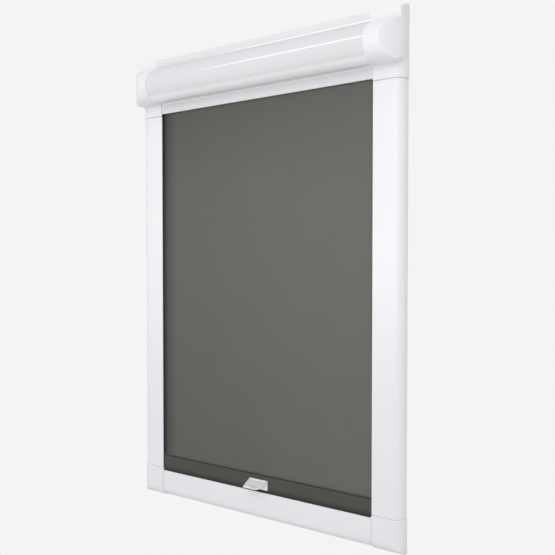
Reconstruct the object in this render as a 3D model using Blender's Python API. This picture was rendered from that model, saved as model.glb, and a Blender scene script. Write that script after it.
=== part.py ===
"""Framed cassette roller blind that fastens over the glass of a window sash.

World frame: +X to the right seen from the room, +Y towards the glass, +Z up.  The origin
is the centre of the head's flat back face.  Lengths are in metres.  Every piece is
modelled where it sits with the blind drawn fully down.
"""
import math

import bmesh
import bpy
from mathutils import Matrix, Vector

MM = 0.001

# ---- driving dimensions ----------------------------------------------------------------
OPENING_W = 271.2 * MM          # clear fabric opening between the side rails
OPENING_H = 432.4 * MM          # clear fabric opening, head to bottom rail
RAIL_FACE = 31.6 * MM           # face width of side and bottom rails
RAIL_DEPTH = 13.0 * MM          # rail depth, room side to glass side
RAIL_ROUND = 10.6 * MM          # the rounded outer edge of a rail, across the face
RAIL_ROUND_DEPTH = 11.0 * MM    # the same edge, front to back
HEAD_H = 61.5 * MM              # height of the head at the front of its sloping top
TOP_BACK_Z = 39.2 * MM          # the same top at the back plane
TOP_SLOPE = 0.39                # fall of the top towards the room, per unit of depth
FLANGE_DEPTH = 21.0 * MM        # depth of the upright flange above the hood
FLANGE_EDGE = 2.4 * MM          # radius of the flange's top front edge
HOOD_R = 20.4 * MM              # radius of the hood's lower half, round the roller axis
HOOD_RISE = 4.1 * MM            # bulge of the hood's upper face over its chord
HOOD_TOP_Z = 20.9 * MM          # where the hood's upper face meets the flange
CREASE_Z = -19.2 * MM           # where the hood's underside meets the band below it
CAP_REACH = 32.4 * MM           # end caps reach this far out from the opening's edge
CAP_DROP = 2.3 * MM             # end caps reach this far below the opening's top
CAP_LIFT = 0.4 * MM             # end caps stand this far above the extrusions
CAP_TOP_R = 1.5 * MM            # round of an end cap's upper outer corner
CAP_LOW_R = 8.0 * MM            # round of the hood end's lower outer corner
CORNER_RISE = 3.0 * MM          # corner pieces reach this far above the opening's bottom
PROUD = 0.8 * MM                # mouldings stand this far proud of the rails
ALU_WALL = 1.3 * MM             # wall of the extrusions
PLASTIC_WALL = 2.0 * MM         # wall of the mouldings
GAP = 0.3 * MM                  # assembly gap between neighbouring pieces

SLOT_W = 4.5 * MM               # the rails' fabric slot, front to back
SLOT_DEEP = 14.4 * MM           # the same slot, from the opening to the web beside it

ROLLER_Y = -21.0 * MM           # roller axis, at Z = 0
PITCH_R = 11.0 * MM             # radius at which the fabric leaves the roll
TUBE_R = 9.0 * MM
TUBE_WALL = 1.0 * MM
ROLL_R = 10.5 * MM              # outside of the wound fabric
FABRIC_HALF = 143.5 * MM        # half width of fabric and tube; the edges run in the slots
FABRIC_T = 0.4 * MM
SHAFT_R = 2.0 * MM
PIN_R = 2.5 * MM
BUSH_R = 4.2 * MM
RUNNING_GAP = 0.09 * MM         # radial clearance of turning fits
PLUG_IN = 14.0 * MM             # how far the end plugs reach into the tube
PLUG_COLLAR = 2.0 * MM
BRACKET_X = 151.0 * MM          # inner face of the steel roller brackets
BRACKET_T = 1.5 * MM
SPRING_ANCHOR_X = -40.0 * MM    # inner end of the fixed shaft

BAR_HALF = 133.0 * MM           # half length of the bottom bar
BAR_H = 24.0 * MM
BAR_T = 2.4 * MM
BAR_TOP_Z = -443.6 * MM         # top of the bar at rest
SLEEVE_T = 0.3 * MM
GUIDE_H = 15.6 * MM
GUIDE_T = 2.0 * MM

TAB_X = 2.2 * MM                # pull tab: middle, width, height and reach
TAB_W = 24.0 * MM
TAB_H = 10.6 * MM
TAB_REACH = 20.0 * MM
TAB_T = 1.7 * MM
TAB_DROP = 5.6 * MM             # from the bar's top down to the tab's top

SCREW_R = 1.1 * MM
SCREW_HEAD_R = 2.0 * MM
SCREW_HEAD_T = 1.3 * MM
RAIL_SCREW_LONG = 6.0 * MM
BRACKET_SCREW_LONG = 9.0 * MM
BRACKET_SCREW_YZ = ((-8.0 * MM, 17.0 * MM), (-8.0 * MM, -16.0 * MM))

SIDES = {"left": -1, "right": 1}

# ---- places worked out from them -------------------------------------------------------
FRONT_Y = -RAIL_DEPTH
OPEN_X = OPENING_W / 2
HEAD_TOP = HEAD_H / 2
OPEN_TOP = -HEAD_H / 2
OPEN_BOTTOM = OPEN_TOP - OPENING_H
SIDE_TOP = OPEN_TOP - CAP_DROP
SIDE_BOTTOM = OPEN_BOTTOM + CORNER_RISE
SLOT_FRONT = FRONT_Y + ALU_WALL
SLOT_BACK = SLOT_FRONT + SLOT_W
FABRIC_Y = ROLLER_Y + PITCH_R
BAR_Y = (SLOT_FRONT + SLOT_BACK) / 2
SLEEVE_HALF_T = BAR_T / 2 + GAP + SLEEVE_T
NOSE_Y = ROLLER_Y - HOOD_R

# legs of the mouldings, plugged into the chambers of the rails
LEG_U = (SLOT_DEEP + ALU_WALL + 0.7 * MM, RAIL_FACE - RAIL_ROUND + 0.4 * MM)
LEG_Y = (SLOT_FRONT + 0.4 * MM, -ALU_WALL - 0.6 * MM)
LEG_LONG = 20.0 * MM
LEG_SCREW = 0.55 * LEG_LONG
LEG_SCREW_Y = -3.6 * MM


# ---- modelling tools -------------------------------------------------------------------
def material(name, colour, roughness, metallic=0.0):
    """A Principled material with one colour and finish."""
    made = bpy.data.materials.new(name)
    made.use_nodes = True
    shader = made.node_tree.nodes["Principled BSDF"]
    shader.inputs["Base Color"].default_value = (*colour, 1.0)
    shader.inputs["Roughness"].default_value = roughness
    shader.inputs["Metallic"].default_value = metallic
    return made


def shade(mesh):
    """Smooth where the surface is round, sharp at its edges."""
    mesh.shade_smooth()
    mesh.set_sharp_from_angle(angle=math.radians(32))


def new_object(name, shape, finish):
    """Turn a bmesh into a named object with outward faces."""
    bmesh.ops.remove_doubles(shape, verts=shape.verts, dist=1e-7)
    bmesh.ops.recalc_face_normals(shape, faces=shape.faces)
    mesh = bpy.data.meshes.new(name)
    shape.to_mesh(mesh)
    shape.free()
    mesh.materials.append(finish)
    shade(mesh)
    made = bpy.data.objects.new(name, mesh)
    bpy.context.scene.collection.objects.link(made)
    return made


def prism(outline, place, low, high):
    """Extrude a closed outline of (u, v) points; place(u, v, w) gives the world point."""
    shape = bmesh.new()
    base = [shape.verts.new(place(u, v, low)) for u, v in outline]
    top = [shape.verts.new(place(u, v, high)) for u, v in outline]
    shape.faces.new(base)
    shape.faces.new(list(reversed(top)))
    for i in range(len(outline)):
        j = (i + 1) % len(outline)
        shape.faces.new((base[i], top[i], top[j], base[j]))
    return shape


def along_x(y, z, x):
    return Vector((x, y, z))


def along_y(x, z, y):
    return Vector((x, y, z))


def along_z(x, y, z):
    return Vector((x, y, z))


def side_rail_place(u, y, z):
    """Rail outline on the right: u runs outwards from the opening's edge."""
    return Vector((OPEN_X + u, y, z))


def bottom_rail_place(u, y, x):
    """Rail outline at the bottom: u runs down from the opening's edge."""
    return Vector((x, y, OPEN_BOTTOM - u))


def block(low, high):
    """A box between two corners."""
    corners = [(low[0], low[1]), (high[0], low[1]), (high[0], high[1]), (low[0], high[1])]
    return prism(corners, along_z, low[2], high[2])


def spread(sign, near, far):
    """Two distances from the middle as low and high X on one side of the object."""
    return sorted((sign * near, sign * far))


def arc(centre, radius, start_deg, end_deg, steps):
    """Points on an arc, both ends included."""
    points = []
    for i in range(steps + 1):
        angle = math.radians(start_deg + (end_deg - start_deg) * i / steps)
        points.append((centre[0] + radius * math.cos(angle),
                       centre[1] + radius * math.sin(angle)))
    return points


def walled(path, thickness):
    """Closed outline of a wall whose outer side is the path and whose inside is its left."""
    points = [Vector(p) for p in path]
    inner = []
    for i, point in enumerate(points):
        before = (point - points[i - 1]).normalized() if i else None
        after = (points[i + 1] - point).normalized() if i + 1 < len(points) else None
        first, second = before or after, after or before
        left = Vector((-first.y, first.x))
        normal = (left + Vector((-second.y, second.x))).normalized()
        inner.append(point + normal * thickness / max(0.35, normal.dot(left)))
    return [tuple(p) for p in points] + [tuple(p) for p in reversed(inner)]


def turned(profile, steps, place):
    """Revolve (distance along the axis, radius) points; place maps local axis X to world."""
    shape = bmesh.new()
    rings = []
    for along, radius in profile:
        rings.append([])
        for i in range(steps):
            angle = 2 * math.pi * i / steps
            point = Vector((along, radius * math.cos(angle), radius * math.sin(angle)))
            rings[-1].append(shape.verts.new(place @ point))
    ring_shaped = profile[0] == profile[-1]
    for first, second in zip(rings, rings[1:]):
        for i in range(steps):
            j = (i + 1) % steps
            shape.faces.new((first[i], first[j], second[j], second[i]))
    if not ring_shaped:
        shape.faces.new(rings[0])
        shape.faces.new(list(reversed(rings[-1])))
    return shape


def ring_profile(start, end, inner, outer):
    """Closed profile of a plain ring for turned()."""
    return [(start, inner), (start, outer), (end, outer), (end, inner), (start, inner)]


def pointing(position, direction):
    """Placement whose local +X looks along a direction."""
    turn = Vector((1, 0, 0)).rotation_difference(Vector(direction)).to_matrix().to_4x4()
    return Matrix.Translation(Vector(position)) @ turn


def combine(target, tool_shape, operation):
    """Apply one exact Boolean to an object and drop the tool."""
    tool = new_object("cutter", tool_shape, target.data.materials[0])
    tool.hide_render = True
    tool.display_type = "WIRE"
    step = target.modifiers.new("boolean", "BOOLEAN")
    step.solver = "EXACT"
    step.operation = operation
    step.object = tool
    seen = target.evaluated_get(bpy.context.evaluated_depsgraph_get())
    result = bpy.data.meshes.new_from_object(seen)
    target.modifiers.remove(step)
    target.data = result
    bpy.data.objects.remove(tool)
    shade(result)
    return target


def shape_of(target):
    """The bmesh of a scratch object, which is removed."""
    shape = bmesh.new()
    shape.from_mesh(target.data)
    bpy.data.objects.remove(target)
    return shape


def overlap_of(first_shape, second_shape, finish):
    """What two shapes have in common."""
    scratch = new_object("scratch", first_shape, finish)
    return shape_of(combine(scratch, second_shape, "INTERSECT"))


def mirrored(source, name):
    """The left-hand twin of a right-hand piece."""
    shape = bmesh.new()
    shape.from_mesh(source.data)
    bmesh.ops.scale(shape, vec=(-1, 1, 1), verts=shape.verts)
    return new_object(name, shape, source.data.materials[0])


def carried(made, parent):
    """Hang a piece on the empty of its joint without moving it."""
    made.data.transform(Matrix.Translation(-parent.location))
    made.parent = parent
    return made


# ---- sections --------------------------------------------------------------------------
def rail_outline(grow=0.0, start=0.0):
    """Outside of a rail in (u, y), from the back's inner edge round to its outer edge."""
    flat_end = RAIL_FACE - RAIL_ROUND
    outline = [(start, 0.0), (start, FRONT_Y - grow), (flat_end, FRONT_Y - grow)]
    steps = 8
    for i in range(1, steps + 1):
        angle = math.pi / 2 * i / steps
        outline.append((flat_end + (RAIL_ROUND + grow) * math.sin(angle), FRONT_Y
                        + RAIL_ROUND_DEPTH - (RAIL_ROUND_DEPTH + grow) * math.cos(angle)))
    outline.append((RAIL_FACE + grow, 0.0))
    return outline


def rail_section():
    """A rail's wall: face, rounded edge, back, web, and the rear wall of the fabric slot."""
    slot_wall = SLOT_BACK + ALU_WALL
    path = rail_outline()[1:] + [(SLOT_DEEP, 0.0), (SLOT_DEEP, slot_wall), (0.0, slot_wall)]
    return walled(path, ALU_WALL)


def hood_outline(inset=0.0, steps=8):
    """Upper face, nose and underside of the hood in (y, z), down to the crease."""
    root = Vector((-FLANGE_DEPTH + 0.6 * MM, HOOD_TOP_Z))
    nose = Vector((NOSE_Y, 0.4 * MM))
    half = (nose - root).length / 2
    radius = (half * half + HOOD_RISE * HOOD_RISE) / (2 * HOOD_RISE)
    inward = Vector((root.y - nose.y, nose.x - root.x)).normalized()
    centre = (root + nose) / 2 + inward * (radius - HOOD_RISE)
    start = math.degrees(math.atan2(root.y - centre.y, root.x - centre.x))
    end = math.degrees(math.atan2(nose.y - centre.y, nose.x - centre.x)) % 360
    upper = arc(centre, radius - inset, start, end, steps)
    lower = arc((ROLLER_Y, 0.0), HOOD_R - inset, 181, 270, steps)
    return upper + lower + [(FRONT_Y + inset, CREASE_Z + inset * 0.6)]


def flange_outline(inset=0.0, lift=0.0):
    """Top of the head in (y, z): back edge, sloping top and rounded front edge."""
    fall = math.atan(TOP_SLOPE)
    back_top = TOP_BACK_Z + lift - inset / math.cos(fall)
    radius = FLANGE_EDGE - inset * 0.5
    centre_y = -FLANGE_DEPTH + inset + radius
    centre_z = back_top + TOP_SLOPE * centre_y - radius / math.cos(fall)
    return ([(-inset, back_top - TOP_SLOPE * inset)]
            + arc((centre_y, centre_z), radius, 90 + math.degrees(fall), 180, 4))


# ---- frame -----------------------------------------------------------------------------
def leg_screw_place(sign, z):
    """A screw through a side rail's web into the leg in the rail's chamber."""
    return pointing((sign * (OPEN_X + SLOT_DEEP - 0.1 * MM), LEG_SCREW_Y, z), (sign, 0, 0))


def bottom_screw_place(sign):
    """A screw through the bottom rail's web into a corner piece's lower leg."""
    return pointing((sign * (OPEN_X - LEG_SCREW), LEG_SCREW_Y,
                     OPEN_BOTTOM - SLOT_DEEP + 0.1 * MM), (0, 0, -1))


def bracket_screw_place(sign, y, z):
    return pointing((sign * (BRACKET_X - 0.1 * MM), y, z), (sign, 0, 0))


def screw_hole(target, place, length):
    """Clearance for a screw's shank through a wall and into what is behind it."""
    radius = SCREW_R + 0.6 * GAP
    return combine(target, turned([(-MM, radius), (length + 0.6 * MM, radius)], 12, place),
                   "DIFFERENCE")


def make_screw(name, place, length, finish):
    """Pan-head screw; its local +X runs from the head's underside to the point."""
    profile = [(-SCREW_HEAD_T, SCREW_HEAD_R * 0.55), (-SCREW_HEAD_T * 0.75, SCREW_HEAD_R * 0.85),
               (-SCREW_HEAD_T * 0.25, SCREW_HEAD_R), (0.0, SCREW_HEAD_R), (0.0, SCREW_R),
               (length - 1.2 * MM, SCREW_R), (length, 0.25 * MM)]
    made = new_object(name, turned(profile, 12, Matrix.Identity(4)), finish)
    made.matrix_world = place


def make_side_rails(finish):
    """Two extruded rails with a slot for the fabric's edge and a chamber for the legs."""
    shape = prism(rail_section(), side_rail_place, SIDE_BOTTOM + GAP, SIDE_TOP - GAP)
    rail = new_object("right_side_rail", shape, finish)
    for z in (SIDE_TOP - LEG_SCREW, SIDE_BOTTOM + LEG_SCREW):
        screw_hole(rail, leg_screw_place(1, z), RAIL_SCREW_LONG)
    mirrored(rail, "left_side_rail")


def make_bottom_rail(finish):
    """The same extrusion laid across; the bar's lower edge rests in its slot."""
    shape = prism(rail_section(), bottom_rail_place, -OPEN_X + GAP, OPEN_X - GAP)
    rail = new_object("bottom_rail", shape, finish)
    for sign in SIDES.values():
        screw_hole(rail, bottom_screw_place(sign), RAIL_SCREW_LONG)


def gusset(corner_z, up, radius):
    """Small filled round in the opening's right-hand corner, as thick as a moulded wall.

    up is 1 where the corner's other edge is above it and -1 where it is below."""
    centre = (OPEN_X - radius, corner_z - up * radius)
    outline = [(OPEN_X + MM, corner_z - up * radius), (OPEN_X + MM, corner_z)]
    outline += arc(centre, radius, 90 * up, 0, 5)
    return prism(outline, along_y, FRONT_Y - PROUD, FRONT_Y - PROUD + PLASTIC_WALL)


def make_corner_pieces(finish):
    """Moulded corners: the rails' outsides meet in a mitre and two legs plug into them."""
    far = RAIL_FACE + PROUD
    upright = prism(rail_outline(PROUD), side_rail_place, OPEN_BOTTOM - far, SIDE_BOTTOM)
    level = prism(rail_outline(PROUD, -CORNER_RISE - MM), bottom_rail_place,
                  OPEN_X - MM, OPEN_X + far + MM)
    corner = new_object("right_corner_piece", overlap_of(upright, level, finish), finish)
    inner_far = RAIL_FACE - 0.6 * RAIL_ROUND
    pocket = block((OPEN_X + PLASTIC_WALL, FRONT_Y + PLASTIC_WALL, OPEN_BOTTOM - inner_far),
                   (OPEN_X + inner_far, MM, SIDE_BOTTOM - PLASTIC_WALL))
    combine(corner, pocket, "DIFFERENCE")
    side_leg = block((OPEN_X + LEG_U[0], LEG_Y[0], SIDE_BOTTOM - 3 * MM),
                     (OPEN_X + LEG_U[1], LEG_Y[1], SIDE_BOTTOM + LEG_LONG))
    low_leg = block((OPEN_X - LEG_LONG, LEG_Y[0], OPEN_BOTTOM - LEG_U[1]),
                    (OPEN_X + 3 * MM, LEG_Y[1], OPEN_BOTTOM - LEG_U[0]))
    for part in (side_leg, low_leg, gusset(OPEN_BOTTOM + GAP, -1, CORNER_RISE - GAP)):
        combine(corner, part, "UNION")
    screw_hole(corner, leg_screw_place(1, SIDE_BOTTOM + LEG_SCREW), RAIL_SCREW_LONG)
    screw_hole(corner, bottom_screw_place(1), RAIL_SCREW_LONG)
    mirrored(corner, "left_corner_piece")


def make_pile_strips(finish):
    """Wool pile along both inner faces of each slot, clear of the fabric and the guides."""
    for side, sign in SIDES.items():
        low_x, high_x = spread(sign, OPEN_X + 1.0 * MM, OPEN_X + 5.0 * MM)
        for place, low_y, high_y in (("front", SLOT_FRONT + GAP, SLOT_FRONT + 0.7 * MM),
                                     ("back", SLOT_BACK - 0.9 * MM, SLOT_BACK - GAP)):
            shape = block((low_x, low_y, SIDE_BOTTOM + 3 * MM),
                          (high_x, high_y, SIDE_TOP - 3 * MM))
            new_object(f"{side}_pile_{place}", shape, finish)


def make_window_clips(finish):
    """Spring-steel catches in the rear recess of the side rails, flush with the back."""
    floor_y = SLOT_BACK + ALU_WALL + GAP
    path = [(1.2 * MM, -1.0 * MM), (1.2 * MM, floor_y), (10.2 * MM, floor_y),
            (10.2 * MM, -2.6 * MM), (8.6 * MM, -1.2 * MM)]
    outline = walled(path, 0.6 * MM)
    for side, sign in SIDES.items():
        def place(u, y, z, sign=sign):
            return Vector((sign * (OPEN_X + u), y, z))

        for level, z in (("upper", OPEN_TOP - 70 * MM), ("lower", OPEN_BOTTOM + 70 * MM)):
            new_object(f"{side}_{level}_window_clip",
                       prism(outline, place, z - 9 * MM, z + 9 * MM), finish)


# ---- head ------------------------------------------------------------------------------
def make_cassette_back(finish):
    """Extruded back: bottom lip, back wall, top and the upright flange at the front."""
    path = [(-5.0 * MM, OPEN_TOP), (0.0, OPEN_TOP)] + flange_outline()
    path += [(-FLANGE_DEPTH, HOOD_TOP_Z + GAP)]
    new_object("cassette_back", prism(walled(path, ALU_WALL), along_x,
                                      -OPEN_X + GAP, OPEN_X - GAP), finish)


def make_cassette_cover(finish):
    """Extruded hood and band; its upper edge hooks up behind the flange."""
    hook_y = -FLANGE_DEPTH + ALU_WALL + GAP
    path = [(hook_y, HOOD_TOP_Z + 6 * MM), (hook_y, HOOD_TOP_Z)] + hood_outline()[1:]
    path += [(FRONT_Y, OPEN_TOP)]
    new_object("cassette_cover", prism(walled(path, ALU_WALL), along_x,
                                       -OPEN_X + GAP, OPEN_X - GAP), finish)


def cap_plan(inset):
    """Plan of the hood's end: a front round, a bend, a nearly flat flank and the side."""
    shares = ((1.0, 0.0), (0.997, 0.102), (0.975, 0.211), (0.932, 0.333), (0.858, 0.476),
              (0.765, 0.619), (0.657, 0.748), (0.543, 0.861), (0.491, 0.905),
              (0.352, 0.959), (0.167, 0.993), (0.0, 1.0))
    reach = CAP_REACH - inset
    straight = -12.0 * MM
    depth = straight - NOSE_Y - inset
    plan = [(OPEN_X - inset, -inset), (OPEN_X + reach, -inset)]
    plan += [(OPEN_X + reach * out, straight - depth * ahead) for out, ahead in shares]
    return plan[:-1] + [(OPEN_X - inset, straight - depth)]


def cap_face(inset):
    """Front view of the hood's end: rounded upper and lower outer corners, in (x, z)."""
    right = OPEN_X + CAP_REACH - inset
    top = TOP_BACK_Z + CAP_LIFT - inset
    low = -HOOD_R + inset
    face = [(OPEN_X - inset, top)]
    top_r = max(CAP_TOP_R - inset, 0.4 * MM)
    face += arc((right - top_r, top - top_r), top_r, 90, 0, 5)
    face += arc((right + inset - CAP_LOW_R, low - inset + CAP_LOW_R), CAP_LOW_R - inset, 0, -90, 6)
    return face + [(OPEN_X - inset, low)]


def cap_hood(inset, finish):
    """The hood's end: the head's section, the plan and the front view in common."""
    section = [(-inset, CREASE_Z + inset)] + flange_outline(inset, CAP_LIFT)
    section += hood_outline(inset)
    shape = prism(section, along_x, OPEN_X - inset, OPEN_X + CAP_REACH)
    shape = overlap_of(shape, prism(cap_plan(inset), along_z, -HEAD_H, HEAD_H), finish)
    return overlap_of(shape, prism(cap_face(inset), along_y, 2 * NOSE_Y, MM), finish)


def cap_body(inset, low):
    """The cap's rear body and leg: the rail's outside carried up to the head's top."""
    outline = rail_outline(PROUD - inset, -inset)
    outline = [(u, min(y, -inset)) for u, y in outline]
    return prism(outline, side_rail_place, low, HEAD_TOP - 4.5 * MM)


def make_end_caps(finish):
    """Moulded end caps: hood end, leg, spigot, tongue and posts for the brackets."""
    cap = new_object("right_end_cap", cap_hood(0.0, finish), finish)
    combine(cap, cap_body(0.0, SIDE_TOP), "UNION")
    combine(cap, gusset(OPEN_TOP - GAP, 1, CAP_DROP - GAP), "UNION")
    combine(cap, cap_hood(PLASTIC_WALL, finish), "DIFFERENCE")
    combine(cap, cap_body(PLASTIC_WALL, SIDE_TOP - MM), "DIFFERENCE")
    spigot = block((OPEN_X + LEG_U[0], LEG_Y[0], SIDE_TOP - LEG_LONG),
                   (OPEN_X + LEG_U[1], LEG_Y[1], SIDE_TOP + 6 * MM))
    tie = block((OPEN_X + LEG_U[0], FRONT_Y + 0.5 * MM, SIDE_TOP),
                (OPEN_X + LEG_U[1], LEG_Y[0] + MM, SIDE_TOP + 6 * MM))
    tongue = block((OPEN_X - 8 * MM, -FLANGE_DEPTH + 6 * MM, HEAD_TOP - 3.4 * MM),
                   (OPEN_X + 4 * MM, -4 * MM, HEAD_TOP - ALU_WALL + 0.6 * MM))
    root = block((OPEN_X + 0.5 * MM, -FLANGE_DEPTH + 6 * MM, HEAD_TOP - 3.4 * MM),
                 (OPEN_X + 4 * MM, -4 * MM, HEAD_TOP + 2.2 * MM))
    for part in (spigot, tie, tongue, root):
        combine(cap, part, "UNION")
    post_start = BRACKET_X + BRACKET_T + GAP
    for y, z in BRACKET_SCREW_YZ:
        post = turned([(post_start, 3.2 * MM), (OPEN_X + CAP_REACH - MM, 3.2 * MM)], 16,
                      Matrix.Translation((0, y, z)))
        combine(cap, post, "UNION")
        screw_hole(cap, bracket_screw_place(1, y, z), BRACKET_SCREW_LONG)
    screw_hole(cap, leg_screw_place(1, SIDE_TOP - LEG_SCREW), RAIL_SCREW_LONG)
    mirrored(cap, "left_end_cap")


def make_brackets(finish):
    """Pressed steel plates that carry the roller's two ends."""
    outline = [(-4.2 * MM, -20.5 * MM), (-4.2 * MM, 21.5 * MM), (-12.5 * MM, 21.5 * MM)]
    outline += arc((ROLLER_Y, 0.0), 8.5 * MM, 60, 300, 12)
    outline += [(-10.6 * MM, -20.5 * MM)]
    for side, sign in SIDES.items():
        low_x, high_x = spread(sign, BRACKET_X, BRACKET_X + BRACKET_T)
        plate = new_object(f"{side}_roller_bracket", prism(outline, along_x, low_x, high_x),
                           finish)
        hole_r = GAP + (BUSH_R if sign > 0 else SHAFT_R)
        combine(plate, turned([(low_x - MM, hole_r), (high_x + MM, hole_r)], 24,
                              Matrix.Translation((0, ROLLER_Y, 0))), "DIFFERENCE")
        for y, z in BRACKET_SCREW_YZ:
            screw_hole(plate, bracket_screw_place(sign, y, z), 3 * MM)


def make_exit_brush(finish):
    """Pile strip behind the band, where the fabric leaves the head."""
    strip = block((-OPEN_X + 2 * MM, FRONT_Y + ALU_WALL + GAP, OPEN_TOP + 1.0 * MM),
                  (OPEN_X - 2 * MM, FABRIC_Y - FABRIC_T / 2 - GAP, OPEN_TOP + 5.5 * MM))
    new_object("exit_brush", strip, finish)


# ---- roller ----------------------------------------------------------------------------
def make_roller(finishes, roller_axis):
    """Tube, wound fabric and the two end plugs, all turning with the roller."""
    centre = Matrix.Translation((0, ROLLER_Y, 0))
    plug_r = TUBE_R - TUBE_WALL - GAP
    flange = FABRIC_HALF + GAP
    collar = flange + PLUG_COLLAR
    plug_end = FABRIC_HALF - PLUG_IN
    bore = SHAFT_R + RUNNING_GAP
    pieces = {
        "roller_tube": ("tube_metal", 32, ring_profile(-FABRIC_HALF, FABRIC_HALF,
                                                       TUBE_R - TUBE_WALL, TUBE_R)),
        "fabric_roll": ("fabric", 48, ring_profile(-FABRIC_HALF, FABRIC_HALF,
                                                   TUBE_R + GAP, ROLL_R)),
        "idle_plug": ("nylon", 32, [(plug_end, plug_r), (flange, plug_r), (flange, TUBE_R),
                                    (collar, TUBE_R), (collar, PIN_R),
                                    (BRACKET_X + BRACKET_T + 1.5 * MM, PIN_R)]),
        "spring_plug": ("nylon", 32, [(-collar, bore), (-collar, TUBE_R), (-flange, TUBE_R),
                                      (-flange, plug_r), (-plug_end, plug_r),
                                      (-plug_end, bore), (-collar, bore)]),
    }
    for name, (finish, steps, profile) in pieces.items():
        carried(new_object(name, turned(profile, steps, centre), finishes[finish]), roller_axis)


def make_spring_motor(finishes):
    """Fixed shaft through the left bracket, its collar, the spring and the idle bush."""
    centre = Matrix.Translation((0, ROLLER_Y, 0))
    outer = BRACKET_X + BRACKET_T
    anchor_r = 5.0 * MM
    shaft = [(-outer - 2 * MM, SHAFT_R), (SPRING_ANCHOR_X, SHAFT_R),
             (SPRING_ANCHOR_X, anchor_r), (SPRING_ANCHOR_X + 8 * MM, anchor_r)]
    new_object("spring_shaft", turned(shaft, 32, centre), finishes["plated_steel"])
    collar = ring_profile(-BRACKET_X + GAP, -BRACKET_X + 3.2 * MM, SHAFT_R + GAP, 4.0 * MM)
    new_object("shaft_collar", turned(collar, 24, centre), finishes["plated_steel"])
    bore = PIN_R + RUNNING_GAP
    lip_x = BRACKET_X - 1.2 * MM
    bush = [(lip_x, bore), (lip_x, 6.0 * MM), (BRACKET_X - GAP, 6.0 * MM),
            (BRACKET_X - GAP, BUSH_R), (outer + 0.5 * MM, BUSH_R), (outer + 0.5 * MM, bore),
            (lip_x, bore)]
    new_object("idle_bush", turned(bush, 32, centre), finishes["nylon"])
    coil = coil_spring(5.6 * MM, 0.45 * MM, 22, -FABRIC_HALF + PLUG_IN + 1.5 * MM,
                       SPRING_ANCHOR_X - 1.5 * MM, centre)
    new_object("torsion_spring", coil, finishes["spring_wire"])


def coil_spring(radius, wire, turns, start, end, place):
    """Helical wire along X, swept as a tube with closed ends."""
    shape = bmesh.new()
    rings = []
    per_turn, sides = 10, 4
    count = turns * per_turn
    for i in range(count + 1):
        angle = 2 * math.pi * i / per_turn
        out = Vector((0, math.cos(angle), math.sin(angle)))
        along = Vector((start + (end - start) * i / count, 0, 0))
        rings.append([])
        for k in range(sides):
            lean = 2 * math.pi * k / sides
            point = along + out * (radius + wire * math.cos(lean))
            point.x += wire * math.sin(lean)
            rings[-1].append(shape.verts.new(place @ point))
    for first, second in zip(rings, rings[1:]):
        for k in range(sides):
            n = (k + 1) % sides
            shape.faces.new((first[k], first[n], second[n], second[k]))
    shape.faces.new(rings[0])
    shape.faces.new(list(reversed(rings[-1])))
    return shape


# ---- fabric, bottom bar and pull tab ---------------------------------------------------
def make_fabric(finish, carriage):
    """The hanging fabric, from the back of the roll down to the hem."""
    hem_top = BAR_TOP_Z + 2 * GAP + SLEEVE_T
    sheet = block((-FABRIC_HALF, FABRIC_Y - FABRIC_T / 2, hem_top),
                  (FABRIC_HALF, FABRIC_Y + FABRIC_T / 2, 0.0))
    carried(new_object("blind_fabric", sheet, finish), carriage)


def make_bottom_bar(finishes, carriage):
    """Flat bar in a fabric hem, with a guide and a brake felt at each end."""
    low_z = BAR_TOP_Z - BAR_H
    bar = block((-BAR_HALF, BAR_Y - BAR_T / 2, low_z), (BAR_HALF, BAR_Y + BAR_T / 2, BAR_TOP_Z))
    carried(new_object("bottom_bar", bar, finishes["aluminium"]), carriage)
    inner = BAR_T / 2 + GAP
    sleeve = block((-BAR_HALF, BAR_Y - SLEEVE_HALF_T, low_z - GAP - SLEEVE_T),
                   (BAR_HALF, BAR_Y + SLEEVE_HALF_T, BAR_TOP_Z + GAP + SLEEVE_T))
    hem = new_object("hem_sleeve", sleeve, finishes["hem_fabric"])
    room = block((-BAR_HALF - MM, BAR_Y - inner, low_z - GAP),
                 (BAR_HALF + MM, BAR_Y + inner, BAR_TOP_Z + GAP))
    carried(combine(hem, room, "DIFFERENCE"), carriage)
    for side, sign in SIDES.items():
        low_x, high_x = spread(sign, BAR_HALF + GAP, OPEN_X + 11.5 * MM)
        guide = block((low_x, BAR_Y - GUIDE_T / 2, BAR_TOP_Z - GUIDE_H),
                      (high_x, BAR_Y + GUIDE_T / 2, BAR_TOP_Z))
        carried(new_object(f"{side}_bar_guide", guide, finishes["nylon"]), carriage)
        low_x, high_x = spread(sign, OPEN_X + 6.0 * MM, OPEN_X + 11.0 * MM)
        felt = block((low_x, BAR_Y + GUIDE_T / 2 + GAP, BAR_TOP_Z - GUIDE_H + 2 * MM),
                     (high_x, SLOT_BACK - GAP, BAR_TOP_Z - 2 * MM))
        carried(new_object(f"{side}_brake_felt", felt, finishes["felt"]), carriage)


def tab_section(root_y, top, steps=12):
    """Section of the pull tab's lip in (y, z): it dips forward, then curls up."""
    upper = []
    for i in range(steps + 1):
        along = i / steps
        dip = 8.0 * MM * along ** 1.4 * (1 - along ** 4.5)
        upper.append((root_y - TAB_REACH * along, top - GAP - dip))
    return upper + [(y, z - TAB_T) for y, z in reversed(upper)]


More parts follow.
